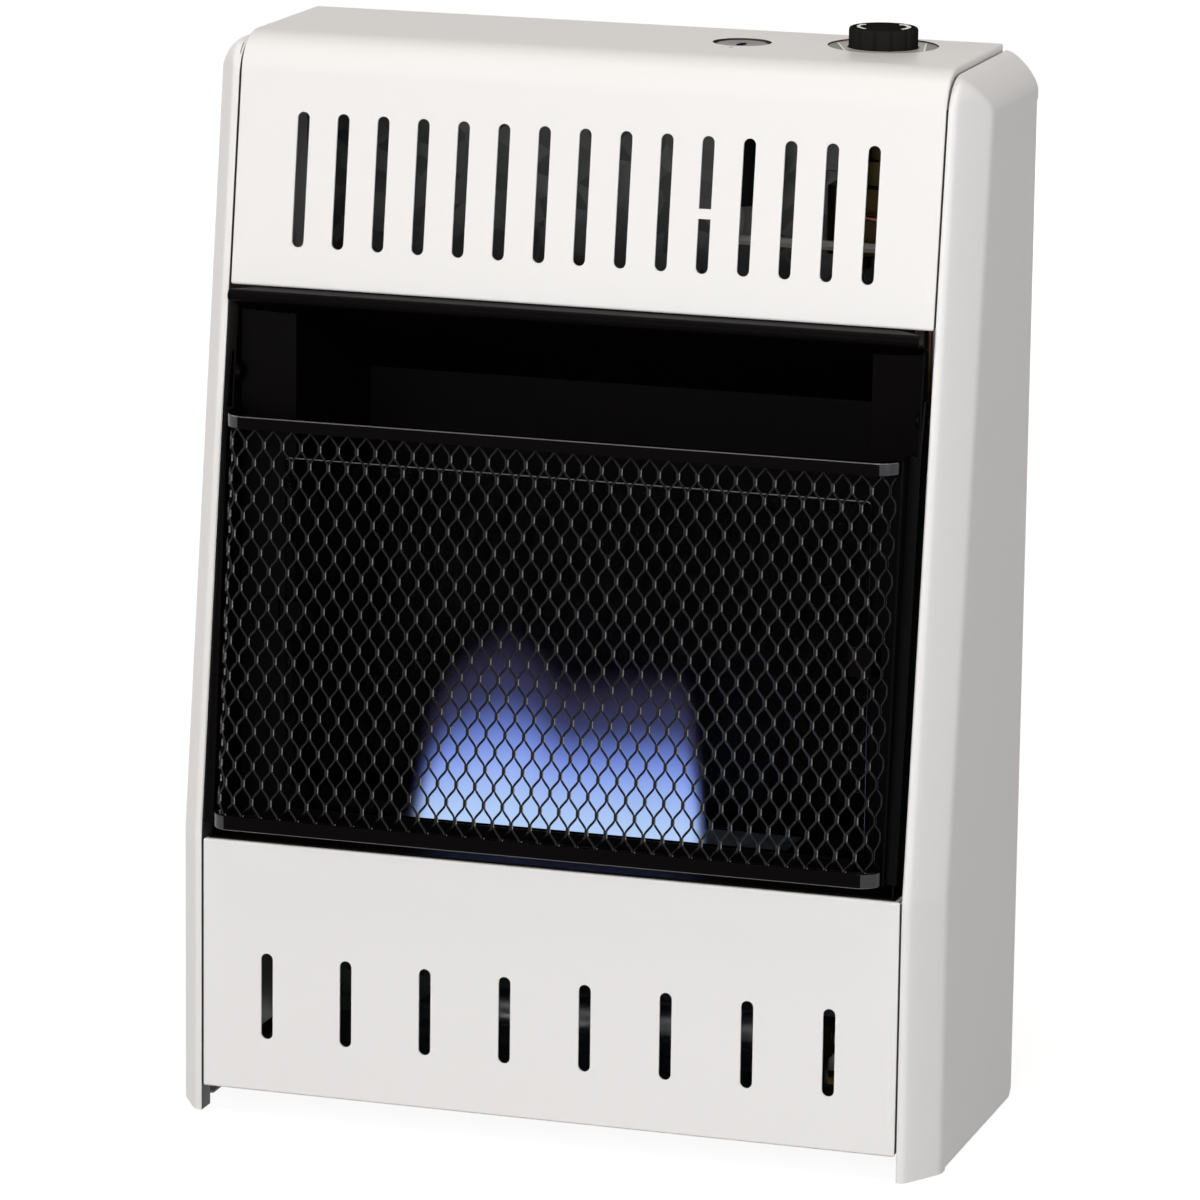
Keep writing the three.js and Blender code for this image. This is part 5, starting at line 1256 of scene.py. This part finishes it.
def lay_floor():
    """A floor that takes the heater's shadow and shows as the pale background."""
    half = FLOOR_HALF
    corners = [(-half, -half, 0), (half, -half, 0), (half, half, 0), (-half, half, 0)]
    floor = make_object("floor", corners, [(0, 1, 2, 3)])
    material = bpy.data.materials.new("Pale Floor")
    material.use_nodes = True
    tree = material.node_tree
    tree.nodes.clear()
    cloud = {"Vector": object_place(tree), "Scale": 3.0, "Detail": 3.0}
    tone = spread(tree, output(tree, "ShaderNodeTexNoise", cloud), start=0.19, end=0.21)
    warm = output(tree, "ShaderNodeVectorMath", {0: tone, 1: (1.06, 0.97, 0.96)}, operation="MULTIPLY")
    matt = output(tree, "ShaderNodeBsdfDiffuse", {"Color": warm})
    away = output(tree, "ShaderNodeVectorMath", {0: object_place(tree)}, "Value", operation="LENGTH")
    glow = math_node(tree, "MULTIPLY", seen_straight(tree), spread(tree, away, 1.0, 4.5, 0.92, 1.0))
    light = output(tree, "ShaderNodeEmission", {"Strength": glow})
    both = output(tree, "ShaderNodeAddShader", {0: matt, 1: light})
    add_node(tree, "ShaderNodeOutputMaterial", {"Surface": both})
    floor.data.materials.append(material)


def open_sky(strength):
    """A world that is white to the eye and gives an even light, warmer from above."""
    world = bpy.data.worlds.new("Studio")
    bpy.context.scene.world = world
    world.use_nodes = True
    tree = world.node_tree
    tree.nodes.clear()
    seen = seen_straight(tree)
    way = output(tree, "ShaderNodeTexCoord", socket="Generated")
    high = spread(tree, output(tree, "ShaderNodeSeparateXYZ", {0: way}, "Z"), 0.1, 0.8)
    warm = mixed(tree, high, WHITE, (1.3, 1.12, 1.0, 1.0))
    sky = {"Color": mixed(tree, seen, warm, WHITE), "Strength": spread(tree, seen, start=strength, end=1.0)}
    add_node(tree, "ShaderNodeOutputWorld", {"Surface": output(tree, "ShaderNodeBackground", sky)})


def hang_softbox(name, power, around, above, colour=(1.0, 1.0, 1.0), size=SOFTBOX, seen=True):
    """A round softbox, by its angles round and above the heater's middle, that the camera may see or not."""
    light = bpy.data.lights.new(name, "AREA")
    light.energy, light.shape, light.size, light.color = power, "DISK", size, colour
    lamp = linked(name, light)
    turn, lift = math.radians(around), math.radians(above)
    way = Vector((math.sin(turn) * math.cos(lift), -math.cos(turn) * math.cos(lift), math.sin(lift)))
    lamp.location = Vector(MIDDLE) + way * LAMP_DISTANCE
    lamp.rotation_euler = way.to_track_quat("Z", "Y").to_euler()
    lamp.visible_transmission = False
    lamp.visible_camera = lamp.visible_glossy = seen


def set_camera(lens):
    """The camera in the photograph's place."""
    camera = bpy.data.cameras.new("Camera")
    camera.lens = lens
    camera.sensor_width = 36.0
    camera.clip_end = 100.0
    view = linked("Camera", camera)
    yaw, pitch, roll = (math.radians(angle) for angle in CAMERA_TURNS)
    back = Vector((math.sin(yaw) * math.cos(pitch), -math.cos(yaw) * math.cos(pitch), math.sin(pitch)))
    turn = Matrix.Rotation(yaw, 4, "Z") @ Matrix.Rotation(math.pi / 2 - pitch, 4, "X")
    turn = turn @ Matrix.Rotation(roll, 4, "Z")
    view.matrix_world = Matrix.Translation(at(*CAMERA_TARGET) + back * CAMERA_DISTANCE) @ turn
    bpy.context.scene.camera = view


# Operators


class HEATER_OT_finishes(bpy.types.Operator):
    """Make the paints, metals, mouldings, glass and flame"""

    bl_idname = "heater.finishes"
    bl_label = "Finishes"

    def execute(self, context):
        looks.update(make_looks(context.scene.heater_finishes))
        return {"FINISHED"}


class HEATER_OT_upper_casing(bpy.types.Operator):
    """Fold and pierce the upper casing"""

    bl_idname = "heater.upper_casing"
    bl_label = "Upper Casing"

    def execute(self, context):
        sizes = context.scene.heater_casing
        foot = front_depth(WINDOW_TOP)
        corners = [
            (0.0, HEIGHT - FLANGE), (0.0, HEIGHT), (front_depth(HEIGHT), HEIGHT), (foot, WINDOW_TOP),
            (foot - FLANGE, WINDOW_TOP),
        ]
        x, z = WEB_PLACE
        web = {"Web Place": at(x, front_depth(z), z), "Web Size": WEB_SIZE}
        piece = front_sheet("upper_casing_sheet", corners, [(TOP_RADIUS, BEND_STEPS)], sizes,
                            sizes.upper_slots, UPPER_ROW, web)
        holes = hole_tree()
        for (x, depth), radius in ((DIAL, DIAL_HOLE), (IGNITER, IGNITER_HOLE)):
            hole = {"Place": at(x, depth, HEIGHT), "Radius": radius * MM, "Material": looks["white"]}
            give_tree(piece, holes, hole)
        paint_front(piece, "upper_casing", sizes)
        # The walls of the dial and igniter holes get painted shade.
        recoat(piece, "cut", in_top_hole)
        return {"FINISHED"}


class HEATER_OT_lower_panel(bpy.types.Operator):
    """Fold and pierce the lower front panel"""

    bl_idname = "heater.lower_panel"
    bl_label = "Lower Front Panel"

    def execute(self, context):
        sizes = context.scene.heater_casing
        back = BOTTOM_DEPTH - FLANGE
        corners = [
            (back, WINDOW_BOTTOM), (BOTTOM_DEPTH, WINDOW_BOTTOM), (BOTTOM_DEPTH, PANEL_FOOT),
            (back, PANEL_FOOT),
        ]
        piece = front_sheet("lower_front_sheet", corners, [], sizes, sizes.lower_slots, LOWER_ROW)
        paint_front(piece, "lower_front_panel", sizes)
        return {"FINISHED"}


class HEATER_OT_side_panels(bpy.types.Operator):
    """Press both side panels"""

    bl_idname = "heater.side_panels"
    bl_label = "Side Panels"

    def execute(self, context):
        sizes = context.scene.heater_casing
        right = make_object("right_side_sheet", *side_skin())
        with_bmesh(right, lambda form: bmesh.ops.recalc_face_normals(form, faces=form.faces))
        if max(right.data.polygons, key=lambda face: face.area).normal.x < 0:
            right.data.flip_normals()
        settle(round_edges(thicken(right, sizes.gauge), sizes.rim, 60.0))
        left = mirrored(right, "left_side_sheet")
        for panel, node in ((right, "right_side_panel"), (left, "left_side_panel")):
            dress(panel, "white", (node,))
            # Faces that look into the seam or the cabinet get painted shade.
            recoat(panel, "inner_shade", in_side_seam)
        return {"FINISHED"}


class HEATER_OT_back_and_tray(bpy.types.Operator):
    """Make the back panel and the base tray"""

    bl_idname = "heater.back_and_tray"
    bl_label = "Back and Tray"

    def execute(self, context):
        traced("back_panel", "zinc", 0.8, segments=3)
        traced("base_tray", "zinc", 0.4)
        return {"FINISHED"}


class HEATER_OT_firebox(bpy.types.Operator):
    """Make the firebox sides, back, floor and hood"""

    bl_idname = "heater.firebox"
    bl_label = "Firebox"

    def execute(self, context):
        for node in ("right_firebox_side", "left_firebox_side"):
            traced(node, "black", 0.3, 4.0)
        for node in ("firebox_back", "firebox_floor"):
            traced(node, "black", 0.3)
        reach, nose_z = front_depth(WINDOW_TOP) + HOOD_REACH, WINDOW_TOP - NOSE_GAP - NOSE_RADIUS
        rear, throat = HOOD_REAR, (reach - 2 * NOSE_RADIUS, nose_z - NOSE_RADIUS)
        line = [rear]
        for depth in HOOD_STATIONS:
            line.append((depth, level_at((rear, throat), depth)))
        line.append(throat)
        for step in range(NOSE_STEPS + 1):
            angle = -math.pi / 2 + math.pi * step / NOSE_STEPS
            depth = reach - NOSE_RADIUS + NOSE_RADIUS * math.cos(angle)
            line.append((depth, nose_z + NOSE_RADIUS * math.sin(angle)))
        line.append((reach - HOOD_RETURN, nose_z + NOSE_RADIUS))
        points = [at(side * level_at(HOOD_PLAN, depth), depth, z) for depth, z in line for side in (-1, 1)]
        hood = make_object("firebox_hood_sheet", points, bands(len(line), 2, closed=False))
        if hood.data.polygons[0].normal.z > 0:
            hood.data.flip_normals()
        settle(round_edges(thicken(hood, HOOD_GAUGE * MM), HOOD_RIM * MM, 60.0))
        dress(hood, "black", ("firebox_hood",))
        return {"FINISHED"}


class HEATER_OT_window(bpy.types.Operator):
    """Make the window glass and its holders"""

    bl_idname = "heater.window"
    bl_label = "Window"

    def execute(self, context):
        pane = traced("window_glass", "glass", 0.4)
        # Only the edge faces turned up and forward get it, so it is partly a painted highlight.
        recoat(pane, "glass_edge", lambda face: face.normal.z > 0.25 and face.normal.y < -0.25)
        traced("glass_channel", "black", 0.3)
        for hand in ("right", "left"):
            traced(hand + "_glass_clip", "black", 0.25, 8.0)
        return {"FINISHED"}


class HEATER_OT_guard_mesh(bpy.types.Operator):
    """Lay and bend the expanded metal"""

    bl_idname = "heater.guard_mesh"
    bl_label = "Guard Mesh"

    def execute(self, context):
        sizes = context.scene.heater_guard
        low, high = sum(GUARD_BOTTOM) - MESH_IN_RAIL, GUARD_TOP[0] - GUARD_TOP[1] + MESH_IN_RAIL
        piece = give_tree(strand_unit(sizes), lattice_tree(), {
            "Columns": math.ceil(2 * guard_half_length() * MM / sizes.short_way) + 2,
            "Rows": math.ceil((high - low) * MM / sizes.long_way) + 2,
            "Short Way": sizes.short_way, "Long Way": sizes.long_way, "Material": looks["lattice"],
        })
        settle(piece, weighted=False)
        with_bmesh(piece, lambda form: trim_and_bend(form, low, high))
        piece.data.set_sharp_from_angle(angle=math.radians(50.0))
        dress(piece, "lattice", ("guard_mesh",))
        return {"FINISHED"}


class HEATER_OT_guard_frame(bpy.types.Operator):
    """Make the rails, end plates and screws"""

    bl_idname = "heater.guard_frame"
    bl_label = "Guard Frame"

    def execute(self, context):
        top_low = GUARD_TOP[0] - GUARD_TOP[1]
        top = rail("guard_top_channel", top_low, GUARD_TOP[1], GUARD_TOP_DEPTH, True)
        bottom = rail("guard_bottom_channel", *GUARD_BOTTOM, GUARD_BOTTOM_DEPTH, False)
        for piece, node, way in ((top, "guard_top_rail", 1), (bottom, "guard_bottom_rail", -1)):
            dress(piece, "guard", (node,))
            # The front edges of the rails get a painted highlight.
            recoat(piece, "guard_edge", lambda face: on_highlit_edge(face, way))
            # The rounded ends of the rails get a painted sheen.
            recoat(piece, "guard_end", on_rolled_end)
        for hand, sign in (("right", 1), ("left", -1)):
            traced(hand + "_guard_plate", "guard", 0.3)
            dress(pan_screw(hand + "_pan_screw", sign), "guard", (hand + "_guard_screw",))
        return {"FINISHED"}


class HEATER_OT_burner(bpy.types.Operator):
    """Make the burner, mixing tube and injector"""

    bl_idname = "heater.burner"
    bl_label = "Burner"

    def execute(self, context):
        traced("burner_tube", "burner", 0.25, 40.0)
        traced("mixing_tube", "aluminium", 0.2, 40.0)
        for node in ("burner_left_bracket", "burner_right_bracket"):
            traced(node, "zinc", 0.3)
        traced("injector", "brass", 0.2, 40.0)
        traced("injector_holder", "brass", 0.5)
        return {"FINISHED"}


class HEATER_OT_pilot(bpy.types.Operator):
    """Make the pilot, electrode and thermocouple"""

    bl_idname = "heater.pilot"
    bl_label = "Pilot"

    def execute(self, context):
        traced("pilot_bracket", "zinc", 0.2)
        traced("pilot_burner", "brass", 0.2, 40.0)
        traced("pilot_electrode", "ceramic", 0.1, 40.0)
        traced("thermocouple", "copper", 0.2, 40.0)
        return {"FINISHED"}


class HEATER_OT_gas_control(bpy.types.Operator):
    """Make the valve, regulator and fittings"""

    bl_idname = "heater.gas_control"
    bl_label = "Gas Control"

    def execute(self, context):
        traced("gas_valve", "brass", 0.8, 40.0, segments=3)
        traced("valve_plug", "brass", 0.3, 40.0, body="valve_plug")
        traced("valve_stem", "zinc", 0.25, 40.0, body="knob")
        traced("valve_bracket", "zinc", 0.4)
        for node in ("supply_nut", "burner_nut"):
            traced(node, "brass", 0.5, 40.0)
        traced("regulator", "aluminium", 0.8, 40.0, segments=3)
        traced("inlet_fitting", "brass", 0.4, 40.0)
        return {"FINISHED"}


class HEATER_OT_pipes(bpy.types.Operator):
    """Run the pipes and leads"""

    bl_idname = "heater.pipes"
    bl_label = "Pipes and Leads"

    def execute(self, context):
        for node in ("supply_pipe", "burner_pipe", "pilot_pipe"):
            traced(node, "aluminium", 0.2, 60.0)
        traced("sensor_lead", "copper", 0.1, 60.0)
        traced("igniter_lead", "silicone", 0.2, 60.0)
        return {"FINISHED"}


class HEATER_OT_dial(bpy.types.Operator):
    """Make the dial ring and its marks"""

    bl_idname = "heater.dial"
    bl_label = "Dial"

    def execute(self, context):
        x, depth = DIAL
        low, high = 514.2, 516.2
        inner, outer = 16.8, 27.4
        rim, face = HEIGHT - 0.6, HEIGHT - 0.8
        ring = lathe("dial_ring", [
            (inner, low), (outer, low), (outer, high), (25.9, high), (25.9, rim - 0.1), (25.8, rim),
            (25.5, rim), (25.4, face), (18.0, face), (17.8, rim), (inner + 0.3, rim), (inner, rim - 0.3),
        ], DIAL, DIAL_SIDES, looped=True)
        dress(settle(ring), "dial", ("dial_plate",))
        wings, marks = [], []
        wing_radius, chord, line_half = 25.3, 19.7, 0.45
        spread_half = math.degrees(math.acos(chord / wing_radius))
        for middle in (157.5, -12.9):
            arc = [math.radians(middle + spread_half * (step / 8 - 1)) for step in range(17)]
            edge = [(x + wing_radius * math.cos(a), depth + wing_radius * math.sin(a)) for a in arc]
            wings.append(prism("wing", edge, face - PRINT_DEPTH, face + 0.05))
            first, last = Vector(edge[0]), Vector(edge[-1])
            out = Vector((math.cos(arc[8]), math.sin(arc[8]))) * line_half
            line = [tuple(place) for place in (first - out, first + out, last + out, last - out)]
            marks.append(prism("mark", line, face - PRINT_DEPTH, face + 0.1))
        dress(settle(joined("dial_wings", wings), weighted=False), "wing")
        dress(settle(joined("dial_marks", marks), weighted=False), "marks")
        return {"FINISHED"}


class HEATER_OT_knob(bpy.types.Operator):
    """Mould the control knob"""

    bl_idname = "heater.knob"
    bl_label = "Knob"

    def execute(self, context):
        dress(settle(knob_moulding(), 50.0), "plastic", ("control_knob",), "knob")
        marks = arc_mark(11.9, 1.6, 238.0, 165.0, 3.2) + arc_mark(11.9, 2.0, -28.0, 50.0, 3.6)
        dress(settle(joined("knob_arrows", marks), weighted=False), "marks", body="knob")
        return {"FINISHED"}


class HEATER_OT_igniter(bpy.types.Operator):
    """Make the igniter and its push button"""

    bl_idname = "heater.igniter"
    bl_label = "Igniter"

    def execute(self, context):
        traced("igniter_body", "plastic", 0.3, 40.0)
        x, depth = IGNITER
        top, radius, dish, stem = 516.9, 12.9, 11.2, 4.0
        under = top - 8.9
        profile = [
            (0.0, 488.0), (stem - 0.3, 488.0), (stem, 488.4), (stem, under), (radius - 0.4, under),
            (radius, under + 0.4), (radius, top - 1.1), (radius - 0.3, top - 0.45), (radius - 0.9, top - 0.1),
            (radius - 1.6, top),
        ]
        for step in range(9):
            share = step / 8
            profile.append((dish * (1 - share), top - 0.35 * math.sin(share * math.pi / 2) - 0.02))
        button = settle(lathe("igniter_push_button", profile, IGNITER, 72), 60.0)
        dress(button, "button", ("igniter_button",), "igniter_button")
        star = []
        half_wide, half_long, ahead, points = 2.5, 6.5, 1.5, 8
        for k in range(2 * points):
            angle, r = math.pi * k / points, (1.0 if k % 2 == 0 else 0.7)
            across, along = half_wide * r * math.cos(angle), half_long * r * math.sin(angle)
            star.append((x + across, depth + ahead + along))
        spark = settle(prism("igniter_spark_mark", star, top - 0.4, top - 0.25), weighted=False)
        dress(spark, "spark", body="igniter_button")
        tip = depth + IGNITER_HOLE + 3.0
        corners = [(x - 1.4, tip + 2.4), (x + 1.4, tip + 2.4), (x, tip)]
        arrow = settle(prism("igniter_arrow", corners, HEIGHT - PRINT_DEPTH, HEIGHT), weighted=False)
        dress(arrow, "spark")
        return {"FINISHED"}


class HEATER_OT_flame(bpy.types.Operator):
    """Light the burner"""

    bl_idname = "heater.flame"
    bl_label = "Flame"

    def execute(self, context):
        left, right = FLAME_TIPS[0][0], FLAME_TIPS[-1][0]
        across, up = FLAME_GRID
        points, faces, glow, rise, tip = [], [], [], [], []
        for depth, tall, share in FLAME_SHEETS:
            base = len(points)
            for i in range(across + 1):
                x = left + (right - left) * i / across
                reach = level_at(FLAME_TIPS, x) - FLAME_FOOT
                top = FLAME_FOOT + reach * tall + FLAME_HAZE
                for j in range(up + 1):
                    z = FLAME_FOOT + (top - FLAME_FOOT) * j / up
                    height = (z - FLAME_FOOT) / (reach + 1.0)
                    soft = LEFT_FADE[0] + LEFT_FADE[1] * height
                    edge = ease(x, left, left + soft) * (1 - ease(x, right - RIGHT_FADE, right))
                    fade = 1 - 0.88 * ease(height, 0.36, 0.8) - 0.12 * ease(height, 0.7, 1.15)
                    glow.append(share * edge * fade)
                    rise.append(ease(height, 0.05, 0.7))
                    tip.append(ease(height, 0.62, 0.98))
                    sway = FLAME_WAVE[0] * math.sin(x * FLAME_WAVE[1]) * (z - FLAME_FOOT) / 100
                    points.append(at(x, depth + sway, z))
            for i in range(across):
                for j in range(up):
                    a = base + i * (up + 1) + j
                    faces.append((a, a + up + 1, a + up + 2, a + 1))
        flame = make_object("blue_flame", points, faces)
        for name, values in (("glow", glow), ("rise", rise), ("tip", tip)):
            flame.data.attributes.new(name, "FLOAT", "POINT").data.foreach_set("value", values)
        flame.data.shade_smooth()
        dress(flame, "flame")
        return {"FINISHED"}


class HEATER_OT_stage(bpy.types.Operator):
    """Set the floor, light and camera"""

    bl_idname = "heater.stage"
    bl_label = "Stage"

    def execute(self, context):
        look = context.scene.heater_stage
        context.scene.view_settings.view_transform = "Standard"
        lay_floor()
        open_sky(look.sky)
        hang_softbox("Key", look.key, 6.0, 14.0)
        hang_softbox("Right", look.right, 58.0, 8.0)
        hang_softbox("Left", look.left, -72.0, 10.0, (1.0, 0.97, 0.95))
        hang_softbox("Top", look.top, 0.0, 80.0, (1.0, 0.93, 0.86))
        hang_softbox("Rear", look.rear, 180.0, 8.0, size=REAR_SOFTBOX, seen=False)
        set_camera(look.lens)
        return {"FINISHED"}


class HEATER_PT_pieces(bpy.types.Panel):
    """Lists the heater's pieces"""

    bl_idname = "HEATER_PT_pieces"
    bl_label = "Blue Flame Heater"
    bl_space_type = "VIEW_3D"
    bl_region_type = "UI"
    bl_category = "Heater"

    def draw(self, context):
        for operator in OPERATORS:
            self.layout.operator(operator.bl_idname)


# In the order in which they run
OPERATORS = (
    HEATER_OT_finishes, HEATER_OT_upper_casing, HEATER_OT_lower_panel, HEATER_OT_side_panels,
    HEATER_OT_back_and_tray, HEATER_OT_firebox, HEATER_OT_window, HEATER_OT_guard_mesh,
    HEATER_OT_guard_frame, HEATER_OT_burner, HEATER_OT_pilot, HEATER_OT_gas_control, HEATER_OT_pipes,
    HEATER_OT_dial, HEATER_OT_knob, HEATER_OT_igniter, HEATER_OT_flame, HEATER_OT_stage,
)
GROUPS = {
    "heater_casing": CasingSizes, "heater_guard": GuardSizes, "heater_finishes": Finishes,
    "heater_stage": StageLook,
}
CLASSES = (*GROUPS.values(), *OPERATORS, HEATER_PT_pieces)


def register():
    for made in CLASSES:
        bpy.utils.register_class(made)
    for name, group in GROUPS.items():
        setattr(bpy.types.Scene, name, PointerProperty(type=group))


def unregister():
    for name in GROUPS:
        delattr(bpy.types.Scene, name)
    for made in reversed(CLASSES):
        bpy.utils.unregister_class(made)


def main():
    register()
    for operator in OPERATORS:
        getattr(bpy.ops.heater, operator.bl_idname.split(".")[1])()


if __name__ == "__main__":
    main()
